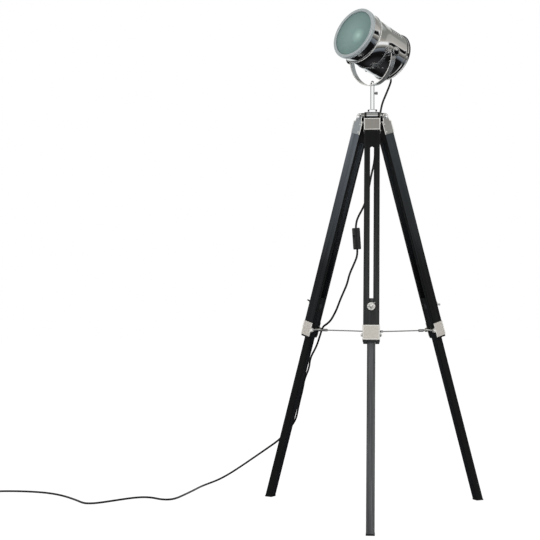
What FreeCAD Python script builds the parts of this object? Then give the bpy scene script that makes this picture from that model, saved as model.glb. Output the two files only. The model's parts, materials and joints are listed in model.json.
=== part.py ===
import FreeCAD, Part
import math
import os

from FreeCAD import Placement, Rotation, Vector

# Tripod spotlight floor lamp, in millimetres, +Z up.
# Three telescopic wooden legs hang from a cast hub. A stem on the hub carries a swivelling yoke,
# and the yoke carries the spot head. Each leg and the head are built in a frame of their own and
# are set in place at the end.

os.makedirs("parts", exist_ok=True)

# ---------------------------------------------------------------- driving dimensions
# tripod
leg_azimuths = (-90.0, 30.0, 150.0)   # front, right and left leg, seen from above
leg_tilt = 16.55                      # each leg from the vertical
hinge_radius = 30.0                   # leg hinge pins from the lamp's axis
hinge_height = 1136.0                 # leg hinge pins above the floor

# upper leg: a grooved rail with a slotted front panel
upper_width = 44.0
upper_depth = 29.5
upper_length = 655.0
hinge_to_rail = 14.6                  # from the hinge pin down to the rail's top end
groove_stop = 58.0                    # solid wood above the groove
front_panel = 7.1                     # wood left in front of the groove
slot_width = 10.5
slot_start = 93.0                     # from the rail's lower end to the slot's lower end
slot_stop = 84.0                      # from the slot's upper end to the rail's upper end
edge_break = 1.0                      # chamfer on the wood's long edges

# lower leg and foot
lower_width = 22.6
lower_overlap = 124.5                 # lower leg inside the rail, with the legs drawn out
slide_gap = 0.3                       # wood to wood, each side
pad_thickness = 4.0
pad_lip = 0.6                         # how far a foot pad stands out round the wood

# leg lock: carriage bolt, washer and wing nut
lock_bolt_radius = 3.0
lock_bolt_rise = 6.0                  # bolt centre above the slot's lower end
lock_bolt_stop = 12.0                 # bolt centre below the slot's upper end, slid right up
carriage_head_radius = 7.5
carriage_head_thickness = 3.2
washer_radius = 11.0
washer_thickness = 1.5
wing_hub_radius = 5.5
wing_hub_height = 8.0
wing_span = 27.0
wing_height = 13.0
wing_thickness = 2.4

# sheet-metal leg caps and clamps
sheet = 1.6
cap_length = 36.5
cap_gap = 1.5                         # from the rail's top end up to the cap's upper edge
ear_radius = 9.5
hinge_bolt_radius = 3.0
rivet_radius = 2.2
rivet_head = 1.1
rivet_inset = 6.0                     # rivets from the cap's inner edge
rivet_margin = 7.0                    # rivets from the cap's ends
clamp_start = 5.0                     # clamp's lower edge above the rail's lower end
clamp_length = 42.0
clamp_ear_width = 14.0
nut_length = 5.5

# spreader
spreader_rise = 26.6                  # spreader bolt above the rail's lower end
spreader_standoff = 4.25              # spreader bolt in front of the rail's inner face
spreader_bolt_radius = 2.5
eye_radius = 5.0
eye_thickness = 2.5
eye_gap = 0.3
fork_straight = 8.5
fork_length = 27.0
fork_wire_radius = 1.75
ferrule_radius = 4.0
ferrule_length = 15.0
rod_radius = 1.75
rod_pin_radius_from_axis = 29.0
rod_eye_radius = 3.6
rod_eye_thickness = 3.6
rod_crank = 50.0                      # straight end of a rod, beside the spider's arm
spider_arm_height = 7.0
spider_arm_thickness = 2.0
spider_disc_radius = 6.0
spider_rod_offset = 5.0               # each rod runs beside the lamp's axis, not through it
rivet_pin_radius = 1.2

# hub
boss_radius = 14.0
boss_bottom = 20.0                    # below the hinge pins
boss_top = 12.0                       # above the hinge pins
collar_radius = 15.5
collar_height = 9.0
knuckle_radius = 11.0
knuckle_gap = 0.3                     # knuckle to the cap's ear, each side
arm_width = 27.0
arm_flange = 3.4
arm_web = 9.0

# stem and swivel
stem_radius = 6.35
stem_bore = 4.5
stem_length = 103.0
stem_seat = 14.0                      # hub floor below the hinge pins, where the stem stands
pin_clearance = 0.08
swivel_pin_length = 55.0
swivel_flange_radius = 6.3
swivel_flange = 1.2
swivel_gap = 0.3
stud_radius = 3.0
thumb_screw_drop = 20.0               # below the stem's top
thumb_screw_radius = 2.0
thumb_head_radius = 4.2
thumb_head_length = 8.0

# yoke
yoke_room = 13.5                      # barrel's side to the middle of the strap
yoke_strap = 2.5
yoke_width = 17.0
yoke_upright = 2.3                    # straight part of each arm below the pivot
head_pan = -43.6                      # the head looks to the left of the front leg
head_tilt = 19.0                      # and up

# head
head_rise = 28.0                      # barrel axis above the pivots
barrel_radius = 70.5
barrel_wall = 1.2
barrel_rear = 74.0                    # behind the pivots
drum_step = 3.5                       # how far the drum stands out round the barrel
drum_front = 88.0                     # ahead of the pivots
drum_rear = 53.0
bead_radius = 1.7
bezel_lap = 2.5                       # how far the bezel stands out round the drum
bezel_face = 9.5                      # width of the bezel's face
bezel_front = 93.5
bezel_skirt = 11.0
bezel_lip = 3.2
lens_thickness = 3.0
lens_crown = 3.5
reflector_margin = 1.0                # reflector's mouth inside the bezel's opening
reflector_neck_radius = 21.0
reflector_depth = 78.0
reflector_wall = 1.0
rear_skirt = 8.0
rear_crown = 7.0
rear_wall = 1.4
rear_bead_radius = 1.6
vent_pitch = 11.0
vent_count = 4
vent_width = 3.6
vent_start = 2.0                      # first vent behind the pivots
vent_middle = 47.0                    # middle of each vent from the top, to either side
vent_spread = 11.0                    # half the angle that a vent spans
back_hole_radius = 2.6
back_hole_circle = 30.0
back_hole_count = 8
band_front = 8.0
band_rear = 32.0
band_wall = 1.3
band_gap = 0.1                        # barrel to band
band_end_angle = 6.0                  # band ends below the barrel's widest line
band_screw_angles = (38.0, 62.0)      # below the barrel's widest line, on both sides
band_screw_station = 20.0             # behind the pivots
band_screw_radius = 3.2
boss_root_radius = 9.0
boss_tip_radius = 7.5
boss_depth = 20.5                     # boss's root inside the barrel's widest line
boss_gap = 0.3                        # pivot boss to the yoke's arm
knob_radius = 13.5
knob_length = 10.0
knob_flutes = 18
knob_flute_radius = 1.1
knob_washer = 1.5
holder_radius = 19.0
holder_length = 38.0
holder_front = -17.0                  # holder's mouth behind the pivots
bulb_radius = 22.5
bulb_centre = -22.0
bulb_neck_radius = 12.5
bulb_reach = 25.5                     # bulb's end contact, on the holder's floor, behind its mouth
cap_screw_radius = 2.6

# mains lead
cord_radius = 3.0
gland_side = -36.0                    # gland on the rear cap, seen along the head's own axes
gland_height = -2.0
gland_length = 20.0
gland_root_radius = 6.5
gland_tip_radius = 3.9
gland_foot = 7.5                      # gland's flange behind the barrel's rear end
gland_gap = 0.2                       # gland's tip to the lead
switch_width = 22.0
switch_depth = 18.0
rocker_length = 20.0
rocker_width = 9.0
rocker_rise = 2.0
rocker_swing = 9.0
rocker_pivot_depth = 2.5              # rocker's pivot pin below the switch's front
rocker_pin_radius = 1.0
rocker_pin_reach = 1.6                # pin into the switch, each side
plug_length = 36.0
plug_width = 26.0
plug_height = 14.0
plug_pin_length = 19.0
plug_pin_radius = 2.0
plug_pin_pitch = 18.6

# route of the lead, chosen point by point: from the gland to the switch, and on to the plug
upper_route = [
    (46, 100.5, 1276), (51, 105.5, 1269), (53.5, 107.5, 1260), (53, 106, 1250.5),
    (36, 83.5, 1206), (28.5, 74, 1187), (23.5, 62, 1163), (20, 51, 1136), (14, 42, 1100),
    (8, 33, 1062), (7, 25, 1028), (4, 17, 1000), (-3, 8, 970), (-9, -1, 937), (-15, -10, 903),
    (-26, -19, 873), (-39, -27, 849), (-46, -32, 831),
]
switch_top = (-47.0, -33.0, 814.0)
switch_bottom = (-43.0, -31.0, 752.0)
lower_route = [
    (-42, -30, 736), (-52, -26, 711), (-66, -17, 681), (-73, -6, 652), (-85, 7, 626),
    (-96, 22, 601), (-104, 36, 580), (-114, 51, 560), (-125, 64, 542), (-138, 79, 531),
    (-149, 92, 524), (-158, 103, 496), (-169, 117, 463), (-189, 130, 428), (-192, 132, 397),
    (-207, 144, 364), (-212, 148, 335), (-221, 158, 300), (-229, 168, 268), (-234, 175, 241),
    (-247, 179, 219), (-266, 179, 196), (-291, 181, 170), (-320, 203, 148), (-350, 243, 124),
    (-383, 300, 97), (-415, 350, 71), (-446, 392, 47), (-477, 418, 25), (-509, 416, 8),
    (-533, 378, 3), (-550, 318, 3), (-561, 252, 3), (-573, 190, 3), (-583, 142, 3),
    (-594, 98, 3), (-611, 76, 3), (-637, 80, 3), (-664, 105, 3), (-694, 114, 3), (-725, 97, 3),
    (-758, 62, 3), (-793, 22, 3), (-819, -3, 3), (-845, -8, 3), (-864, 12, 3), (-884, 41, 3),
    (-933, 101, 3), (-978, 141, 3), (-1028, 166, 3), (-1094, 178, 3), (-1156, 174, 3),
    (-1196, 158, 3),
]
plug_start = (-1232.0, 136.0)         # cable end of the plug, on the floor
plug_heading = 211.4                  # which way the plug's pins point, seen from above

# ---------------------------------------------------------------- derived sizes
tilt = math.radians(leg_tilt)
leg_length = hinge_height / math.cos(tilt)
foot_radius = hinge_radius + hinge_height * math.tan(tilt)
rail_top = leg_length - hinge_to_rail
rail_bottom = rail_top - upper_length
groove_length = upper_length - groove_stop
slot_length = upper_length - slot_start - slot_stop
leg_travel = slot_length - lock_bolt_rise - lock_bolt_stop
lower_top_station = round(rail_bottom + lower_overlap)    # sawn to a whole millimetre
spreader_station = hinge_to_rail + upper_length - spreader_rise
half_width = upper_width / 2
half_depth = upper_depth / 2
groove_half = lower_width / 2 + slide_gap
groove_floor = half_depth - front_panel
lower_outer = groove_floor - slide_gap
slot_bottom = rail_bottom + slot_start
slot_top = slot_bottom + slot_length
lock_station = slot_bottom + lock_bolt_rise
spreader_level = leg_length - spreader_station
spreader_offset = half_depth + spreader_standoff
spreader_radius = (hinge_radius + spreader_station * math.sin(tilt)
                   - spreader_offset * math.cos(tilt))
spreader_height = (hinge_height - spreader_station * math.cos(tilt)
                   - spreader_offset * math.sin(tilt))
ear_plane = half_width + sheet
eye_middle = ear_plane + eye_gap + eye_thickness / 2
stem_bottom = hinge_height - stem_seat
stem_top = stem_bottom + stem_length
drum_radius = barrel_radius + drum_step
bezel_radius = drum_radius + bezel_lap
bezel_opening = bezel_radius - bezel_face
reflector_front_radius = bezel_opening - reflector_margin
yoke_radius = barrel_radius + yoke_room
strap_bottom = stem_top + swivel_gap + swivel_flange
yoke_centre = strap_bottom + yoke_strap / 2 + yoke_radius
pivot_height = yoke_centre + yoke_upright
thumb_screw_height = stem_top - thumb_screw_drop
arm_inner = yoke_radius - yoke_strap / 2
arm_outer = yoke_radius + yoke_strap / 2
bore_clearance = 0.06
band_outer = barrel_radius + band_gap + band_wall

UP = Vector(0, 0, 1)
ALONG_X = Vector(1, 0, 0)
ALONG_Y = Vector(0, 1, 0)


# ---------------------------------------------------------------- small helpers
def block(x0, x1, y0, y1, z0, z1):
    return Part.makeBox(x1 - x0, y1 - y0, z1 - z0, Vector(x0, y0, z0))


def rod(radius, length, start, direction=UP):
    return Part.makeCylinder(radius, length, Vector(*start), direction)


def cone(radius_a, radius_b, length, start, direction):
    return Part.makeCone(radius_a, radius_b, length, Vector(*start), direction)


def join(shapes):
    result = shapes[0]
    for shape in shapes[1:]:
        result = result.fuse(shape)
    return result.removeSplitter()


def turned(outline, axis=ALONG_Y, centre=(0, 0, 0)):
    """A closed outline of edges, turned a full circle about an axis."""
    face = Part.Face(Part.Wire(outline))
    solid = face.revolve(Vector(*centre), axis, 360)
    return solid if solid.Volume > 0 else solid.reversed()


def line(a, b):
    return Part.LineSegment(Vector(*a), Vector(*b)).toShape()


def arc(a, b, c):
    return Part.Arc(Vector(*a), Vector(*b), Vector(*c)).toShape()


def outline(points):
    """Straight edges through points and back to the first."""
    return [line(points[i], points[(i + 1) % len(points)]) for i in range(len(points))]


def upright_edges(shape):
    """The edges that run along Z."""
    found = []
    for edge in shape.Edges:
        if edge.Curve.TypeId == "Part::GeomLine" and abs(edge.tangentAt(0).z) > 0.999:
            found.append(edge)
    return found


def placed(shape, placement):
    copy = shape.copy()
    copy.Placement = placement.multiply(copy.Placement)
    return copy


def leg_placement(azimuth):
    """Leg frame: x across, y outwards, z up the leg from the middle of its foot."""
    lean = Placement(Vector(0, foot_radius, 0), Rotation(ALONG_X, leg_tilt))
    return Placement(Vector(), Rotation(UP, azimuth - 90)).multiply(lean)


def hub_placement(azimuth):
    """Hub frame: y outwards towards a leg, z up."""
    return Placement(Vector(), Rotation(UP, azimuth - 90))


def yoke_placement():
    return Placement(Vector(0, 0, pivot_height), Rotation(UP, head_pan))


def head_placement():
    """Head frame: the pivots on x, the head looking along -y."""
    return yoke_placement().multiply(Placement(Vector(), Rotation(ALONG_X, -head_tilt)))


# ---------------------------------------------------------------- leg pieces, in the leg frame
def make_upper_leg():
    rail = block(-half_width, half_width, -half_depth, half_depth, rail_bottom, rail_top)
    rail = rail.makeChamfer(edge_break, upright_edges(rail))
    groove = block(-groove_half, groove_half, -half_depth - 1, groove_floor,
                   rail_bottom - 1, rail_bottom + groove_length)
    radius = slot_width / 2
    slot = block(-radius, radius, 0, half_depth + 1, slot_bottom + radius, slot_top - radius)
    for end in (slot_bottom + radius, slot_top - radius):
        slot = slot.fuse(rod(radius, half_depth + 1, (0, 0, end), ALONG_Y))
    return rail.cut(groove).cut(slot)


def sheet_channel(bottom, top):
    """A bent sheet over the rail's outer face and both sides, with a bevelled outer rim."""
    plate = block(-ear_plane, ear_plane, half_depth, half_depth + sheet, bottom, top)
    rim = [e for e in plate.Edges if abs(e.CenterOfMass.y - half_depth - sheet) < 0.01]
    plate = plate.makeChamfer(sheet * 0.6, rim)
    sides = [block(side * half_width if side > 0 else -ear_plane,
                   ear_plane if side > 0 else -half_width,
                   -half_depth, half_depth, bottom, top) for side in (-1, 1)]
    return plate, sides


def side_tab(points, hole_y, hole_z, hole_radius):
    """A flat ear on both side plates: an outline in the y-z plane with a hole."""
    ears = []
    for x in (-ear_plane, half_width):
        face = Part.Face(Part.Wire(outline([(x, y, z) for y, z in points])))
        ear = face.extrude(Vector(sheet, 0, 0))
        ears.append(ear)
    hole = rod(hole_radius, 3 * upper_width, (-1.5 * upper_width, hole_y, hole_z), ALONG_X)
    return ears, hole


def make_leg_cap():
    top = rail_top + cap_gap
    bottom = top - cap_length
    plate, sides = sheet_channel(bottom, top)
    shoulder = half_depth * 0.8
    points = [(-shoulder, top - 1), (shoulder, top - 1),
              (ear_radius * 0.94, leg_length), (-ear_radius * 0.94, leg_length)]
    ears, hole = side_tab(points, 0, leg_length, hinge_bolt_radius + bore_clearance)
    crowns = [rod(ear_radius, sheet, (x, 0, leg_length), ALONG_X)
              for x in (-ear_plane, half_width)]
    return join([plate] + sides + ears + crowns).cut(hole)


def make_cap_rivets():
    top = rail_top + cap_gap - rivet_margin
    bottom = rail_top + cap_gap - cap_length + rivet_margin
    heads = []
    for side in (-1, 1):
        for z in (bottom, top):
            start = (side * ear_plane, -half_depth + rivet_inset, z)
            head = cone(rivet_radius, rivet_radius * 0.6, rivet_head, start, ALONG_X * side)
            heads.append(head)
    return Part.makeCompound(heads)


def make_clamp():
    bottom = rail_bottom + clamp_start
    plate, sides = sheet_channel(bottom, bottom + clamp_length)
    half_ear = clamp_ear_width / 2
    points = [(-half_depth + 1, spreader_level - half_ear),
              (-half_depth + 1, spreader_level + half_ear),
              (-spreader_offset, spreader_level + half_ear * 0.86),
              (-spreader_offset, spreader_level - half_ear * 0.86)]
    ears, hole = side_tab(points, -spreader_offset, spreader_level, spreader_bolt_radius)
    crowns = [rod(half_ear * 0.86, sheet, (x, -spreader_offset, spreader_level), ALONG_X)
              for x in (-ear_plane, half_width)]
    return join([plate] + sides + ears + crowns).cut(hole)


def make_spreader_bolt():
    reach = eye_middle + eye_thickness / 2 + eye_gap
    centre_y, centre_z = -spreader_offset, spreader_level
    shank = rod(spreader_bolt_radius, 2 * reach, (-reach, centre_y, centre_z), ALONG_X)
    heads = []
    for side in (-1, 1):
        start = (side * reach, centre_y, centre_z)
        heads.append(cone(4.4, 3.2, 2.6, start, ALONG_X * side))
    return join([shank] + heads)


def make_lower_leg():
    bar = block(-lower_width / 2, lower_width / 2, -half_depth, lower_outer, -30,
                lower_top_station)
    bar = bar.makeChamfer(edge_break, upright_edges(bar))
    bolt_hole = rod(lock_bolt_radius, 2 * upper_depth, (0, -upper_depth, lock_station), ALONG_Y)
    counterbore = rod(carriage_head_radius, carriage_head_thickness + 5,
                      (0, -half_depth - 5, lock_station), ALONG_Y)
    return bar.cut(bolt_hole).cut(counterbore)


def floor_slab(bottom, top):
    """A wide slab, level with the floor, in the leg frame."""
    reach = 8 * max(upper_width, upper_depth)
    slab = block(-reach, reach, -reach, reach, bottom, top)
    return placed(slab, Placement(Vector(), Rotation(ALONG_X, -leg_tilt)))


def make_foot_pad():
    outer = block(-lower_width / 2 - pad_lip, lower_width / 2 + pad_lip,
                  -half_depth - pad_lip, lower_outer + pad_lip, -40, 60)
    outer = outer.makeChamfer(edge_break, upright_edges(outer))
    return outer.common(floor_slab(0, pad_thickness))


def make_lock_bolt():
    outer_face = half_depth + slide_gap
    head = rod(carriage_head_radius, carriage_head_thickness,
               (0, -half_depth, lock_station), ALONG_Y)
    length = outer_face + washer_thickness + wing_hub_height + 3 + half_depth
    shank = rod(lock_bolt_radius, length, (0, -half_depth, lock_station), ALONG_Y)
    washer = rod(washer_radius, washer_thickness, (0, outer_face, lock_station), ALONG_Y)
    return join([head, shank, washer])


def make_wing_nut():
    base = half_depth + slide_gap + washer_thickness + slide_gap
    hub = cone(wing_hub_radius + 1.2, wing_hub_radius - 0.6, wing_hub_height,
               (0, base, lock_station), ALONG_Y)
    half_span = wing_span / 2
    half_thick = wing_thickness / 2
    wings = []
    for side in (-1, 1):
        low = base + 1.5
        wing = Part.Face(Part.Wire([
            line((0, low, 0), (side * half_span * 0.62, low + 1.5, 0)),
            line((side * half_span * 0.62, low + 1.5, 0),
                 (side * half_span, low + wing_height * 0.55, 0)),
            arc((side * half_span, low + wing_height * 0.55, 0),
                (side * half_span * 0.86, low + wing_height, 0),
                (side * half_span * 0.52, low + wing_height * 0.62, 0)),
            line((side * half_span * 0.52, low + wing_height * 0.62, 0),
                 (0, low + wing_hub_height * 0.7, 0)),
            line((0, low + wing_hub_height * 0.7, 0), (0, low, 0)),
        ])).extrude(Vector(0, 0, wing_thickness))
        wing.translate(Vector(0, 0, lock_station - half_thick))
        wings.append(wing)
    bore = rod(lock_bolt_radius + bore_clearance, 60, (0, 0, lock_station), ALONG_Y)
    nut = join([hub] + wings).cut(bore)
    turn = Rotation(ALONG_Y, 35)
    centre = Vector(0, 0, lock_station)
    return placed(nut, Placement(centre - turn.multVec(centre), turn))


# ---------------------------------------------------------------- hub, in its own frames
def make_hub_arm():
    """One arm of the hub with its knuckle, towards +y."""
    low = -knuckle_radius - 1
    high = boss_top
    half = arm_width / 2
    beam = block(-half, half, 0, hinge_radius, low, high)
    for side in (-1, 1):
        inner, outer = sorted((side * arm_web / 2, side * (half + 1)))
        pocket = block(inner, outer, boss_radius + 1, hinge_radius - 5,
                       low + arm_flange, high - arm_flange)
        beam = beam.cut(pocket)
    reach = half_width - knuckle_gap
    knuckle = rod(knuckle_radius, 2 * reach, (-reach, hinge_radius, 0), ALONG_X)
    arm = beam.fuse(knuckle)
    arm.translate(Vector(0, 0, hinge_height))
    return arm


def make_hub():
    boss = rod(boss_radius, boss_bottom + boss_top, (0, 0, hinge_height - boss_bottom))
    collar = rod(collar_radius, collar_height, (0, 0, hinge_height + boss_top))
    collar = collar.makeChamfer(1.2, [e for e in collar.Edges if e.CenterOfMass.z
                                      > hinge_height + boss_top + collar_height - 0.1
                                      and e.Curve.TypeId == "Part::GeomCircle"])
    arms = [placed(make_hub_arm(), hub_placement(a)) for a in leg_azimuths]
    body = join([boss, collar] + arms)
    body = body.cut(rod(stem_radius, 200, (0, 0, stem_bottom)))
    for azimuth in leg_azimuths:
        bore = rod(hinge_bolt_radius, 4 * upper_width,
                   (-2 * upper_width, hinge_radius, hinge_height), ALONG_X)
        trimmed = bore.common(block(-half_width, half_width, 0, 100, 0, 2 * hinge_height))
        body = body.cut(placed(trimmed, hub_placement(azimuth)))
    return body


def make_hinge_bolts():
    bolts = []
    for azimuth in leg_azimuths:
        reach = ear_plane + eye_gap
        shank = rod(hinge_bolt_radius, 2 * reach, (-reach, hinge_radius, hinge_height), ALONG_X)
        pieces = [shank]
        for side in (-1, 1):
            start = (side * reach, hinge_radius, hinge_height)
            nut = cone(5.6, 5.2, nut_length - 2, start, ALONG_X * side)
            crown = Part.makeSphere(5.2, Vector(start[0] + side * (nut_length - 4.4),
                                                hinge_radius, hinge_height))
            crown = crown.common(rod(5.2, nut_length, start, ALONG_X * side))
            pieces += [nut, crown]
        bolts.append(placed(join(pieces), hub_placement(azimuth)))
    return Part.makeCompound(bolts)


def make_stem():
    tube = rod(stem_radius, stem_length, (0, 0, stem_bottom))
    tube = tube.cut(rod(stem_bore, stem_length + 2, (0, 0, stem_bottom - 1)))
    hole = rod(thumb_screw_radius + bore_clearance, 20, (0, 0, thumb_screw_height), ALONG_X)
    return tube.cut(hole)


def make_thumb_screw():
    tip = stem_bore + 0.3
    shank = rod(thumb_screw_radius, stem_radius + 2 - tip, (tip, 0, thumb_screw_height), ALONG_X)
    start = stem_radius + 1.2
    head = rod(thumb_head_radius, thumb_head_length, (start, 0, thumb_screw_height), ALONG_X)
    head = head.makeChamfer(0.7, [e for e in head.Edges if e.Curve.TypeId == "Part::GeomCircle"])
    for k in range(12):
        angle = math.radians(30 * k)
        y = (thumb_head_radius + 0.25) * math.cos(angle)
        z = thumb_screw_height + (thumb_head_radius + 0.25) * math.sin(angle)
        head = head.cut(rod(0.7, thumb_head_length, (start, y, z), ALONG_X))
    return join([shank, head])


def make_spider():
    """The middle of the spreader: a small disc with three arms on edge, one beside each rod."""
    half_height = spider_arm_height / 2
    disc = rod(spider_disc_radius, spider_arm_height, (0, 0, spreader_height - half_height))
    pieces = [disc]
    arm_outer_face = spider_rod_offset - rod_eye_thickness / 2 - eye_gap
    for azimuth in leg_azimuths:
        arm = block(arm_outer_face - spider_arm_thickness, arm_outer_face,
                    0, rod_pin_radius_from_axis,
                    spreader_height - half_height, spreader_height + half_height)
        end = rod(half_height, spider_arm_thickness,
                  (arm_outer_face - spider_arm_thickness, rod_pin_radius_from_axis,
                   spreader_height), ALONG_X)
        pieces.append(placed(arm.fuse(end), hub_placement(azimuth)))
    return join(pieces)


def make_rod():
    """A spreader rod in the hub frame, with its fork, ferrule and inner eye."""
    fork_end = spreader_radius - fork_length
    straight_end = spreader_radius - fork_straight
    wires = []
    for side in (-1, 1):
        x = side * eye_middle
        eye = rod(eye_radius, eye_thickness,
                  (x - eye_thickness / 2, spreader_radius, spreader_height), ALONG_X)
        prong = block(x - eye_thickness / 2, x + eye_thickness / 2,
                      straight_end, spreader_radius,
                      spreader_height - 2.6, spreader_height + 2.6)
        elbow = Vector(x, straight_end + 1.2, spreader_height)
        meet = Vector(side * 1.2, fork_end, spreader_height)
        wire = Part.makeCylinder(fork_wire_radius, (meet - elbow).Length, elbow, meet - elbow)
        knee = Part.makeSphere(fork_wire_radius, elbow)
        wires += [eye, prong, wire, knee]
    ferrule = rod(ferrule_radius, ferrule_length,
                  (0, fork_end - ferrule_length + 3, spreader_height), ALONG_Y)
    start = Vector(0, fork_end - ferrule_length + 5, spreader_height)
    crank = Vector(spider_rod_offset, rod_pin_radius_from_axis + rod_crank, spreader_height)
    shank = Part.makeCylinder(rod_radius, (crank - start).Length, start, crank - start)
    tail = rod(rod_radius, rod_crank, (spider_rod_offset, rod_pin_radius_from_axis,
                                       spreader_height), ALONG_Y)
    bend = Part.makeSphere(rod_radius, crank)
    inner_eye = rod(rod_eye_radius, rod_eye_thickness,
                    (spider_rod_offset - rod_eye_thickness / 2, rod_pin_radius_from_axis,
                     spreader_height), ALONG_X)
    body = join(wires + [ferrule, shank, bend, tail, inner_eye])
    bore = rod(spreader_bolt_radius + bore_clearance, 4 * upper_width,
               (-2 * upper_width, spreader_radius, spreader_height), ALONG_X)
    pin_bore = rod(rivet_pin_radius, 2 * spider_rod_offset,
                   (spider_rod_offset - rod_eye_thickness, rod_pin_radius_from_axis,
                    spreader_height), ALONG_X)
    return body.cut(bore).cut(pin_bore)


# ---------------------------------------------------------------- yoke, in the yoke frame
def make_yoke():
    centre = -yoke_upright
    ring = rod(arm_outer, yoke_width, (0, -yoke_width / 2, centre), ALONG_Y)
    ring = ring.cut(rod(arm_inner, 2 * yoke_width, (0, -yoke_width, centre), ALONG_Y))
    ring = ring.cut(block(-arm_outer - 1, arm_outer + 1, -yoke_width, yoke_width,
                          centre, centre + arm_outer + 1))
    top = yoke_width / 2
    arms = [block(min(side * arm_inner, side * arm_outer), max(side * arm_inner, side * arm_outer),
                  -yoke_width / 2, yoke_width / 2, centre, 0) for side in (-1, 1)]
    ends = [rod(top, yoke_strap, (min(side * arm_inner, side * arm_outer), 0, 0), ALONG_X)
            for side in (-1, 1)]
    strap = join([ring] + arms + ends)
    strap = strap.cut(rod(stud_radius + bore_clearance, 4 * arm_outer, (-2 * arm_outer, 0, 0),
                          ALONG_X))
    stud_hole = rod(stud_radius, 30, (0, 0, strap_bottom - pivot_height - 10))
    return strap.cut(stud_hole)


def make_swivel_pin():
    pin_radius = stem_bore - pin_clearance
    pin = rod(pin_radius, swivel_pin_length, (0, 0, stem_top - swivel_pin_length))
    flange = rod(swivel_flange_radius, swivel_flange, (0, 0, stem_top + swivel_gap))
    neck = rod(pin_radius, swivel_gap + 0.5, (0, 0, stem_top - 0.2))
    stud = rod(stud_radius, yoke_strap + 7, (0, 0, strap_bottom - 0.2))
    return join([pin, neck, flange, stud])


def make_acorn_nut():
    """Its corners stand on the strap's curved inner face."""
    corner = 5.6
    base = strap_bottom + yoke_strap + arm_inner - math.sqrt(arm_inner ** 2 - corner ** 2)
    corners = [(corner * math.cos(math.radians(60 * k)), corner * math.sin(math.radians(60 * k)),
                base) for k in range(6)]
    hexagon = Part.Face(Part.Wire(outline(corners))).extrude(Vector(0, 0, 5.0))
    skirt = rod(4.6, 3.0, (0, 0, base + 4.5))
    dome = Part.makeSphere(4.6, Vector(0, 0, base + 7.4))
    dome = dome.common(block(-9, 9, -9, 9, base + 7.4, base + 20))
    nut = join([hexagon, skirt, dome])
    nut = nut.cut(rod(stud_radius, 7.0, (0, 0, base - 0.2)))
    return placed(nut, Placement(Vector(), Rotation(UP, head_pan)))


# ---------------------------------------------------------------- head, in the head frame
def on_axis(profile):
    """Turns (station, radius) pairs about the barrel's axis. Stations count backwards, along +y."""
    points = [(0, station, head_rise + radius) for station, radius in profile]
    return turned(outline(points), ALONG_Y, (0, 0, head_rise))


def sector(radius_in, radius_out, front, rear, start_angle, end_angle):
    """Part of a tube round the barrel's axis. Angles from +x, turning towards +z."""
    a, b = math.radians(start_angle), math.radians(end_angle)
    mid = (a + b) / 2

    def at(radius, angle):
        return (radius * math.cos(angle), front, head_rise + radius * math.sin(angle))

    wire = Part.Wire([
        arc(at(radius_out, a), at(radius_out, mid), at(radius_out, b)),
        line(at(radius_out, b), at(radius_in, b)),
        arc(at(radius_in, b), at(radius_in, mid), at(radius_in, a)),
        line(at(radius_in, a), at(radius_out, a)),
    ])
    return Part.Face(wire).extrude(Vector(0, rear - front, 0))


def make_barrel():
    inner = barrel_radius - barrel_wall
    shell = on_axis([(-drum_rear - 4, inner), (-drum_rear - 4, barrel_radius),
                     (barrel_rear, barrel_radius), (barrel_rear, inner)])
    for k in range(vent_count):
        front = vent_start + k * vent_pitch - vent_width / 2
        for middle in (90 - vent_middle, 90 + vent_middle):
            slot = sector(inner - 3, barrel_radius + 3, front, front + vent_width,
                          middle - vent_spread, middle + vent_spread)
            shell = shell.cut(slot)
    return shell


def make_front_drum():
    inner = drum_radius - barrel_wall
    shell = on_axis([(-drum_front, inner), (-drum_front, drum_radius), (-drum_rear, drum_radius),
                     (-drum_rear, barrel_radius), (-drum_rear - barrel_wall, barrel_radius),
                     (-drum_rear - barrel_wall, inner)])
    bead = Part.makeTorus(drum_radius - 0.2, bead_radius, Vector(0, -drum_rear - 1.0, head_rise),
                          ALONG_Y)
    bead = bead.cut(on_axis([(-drum_front, 0), (-drum_front, inner), (0, inner), (0, 0)]))
    return join([shell, bead])


def make_bezel():
    rear = -bezel_front + bezel_skirt
    seat = -bezel_front + bezel_lip
    z = head_rise
    round_r = 2.6
    edges = [
        line((0, rear, z + drum_radius), (0, rear, z + bezel_radius)),
        line((0, rear, z + bezel_radius), (0, -bezel_front + round_r, z + bezel_radius)),
        arc((0, -bezel_front + round_r, z + bezel_radius),
            (0, -bezel_front + round_r * 0.293, z + bezel_radius - round_r * 0.293),
            (0, -bezel_front, z + bezel_radius - round_r)),
        line((0, -bezel_front, z + bezel_radius - round_r),
             (0, -bezel_front, z + bezel_opening + round_r)),
        arc((0, -bezel_front, z + bezel_opening + round_r),
            (0, -bezel_front + round_r * 0.293, z + bezel_opening + round_r * 0.293),
            (0, -bezel_front + round_r, z + bezel_opening)),
        line((0, -bezel_front + round_r, z + bezel_opening), (0, seat, z + bezel_opening)),
        line((0, seat, z + bezel_opening), (0, seat, z + drum_radius)),
        line((0, seat, z + drum_radius), (0, rear, z + drum_radius)),
    ]
    return turned(edges, ALONG_Y, (0, 0, head_rise))


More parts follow.
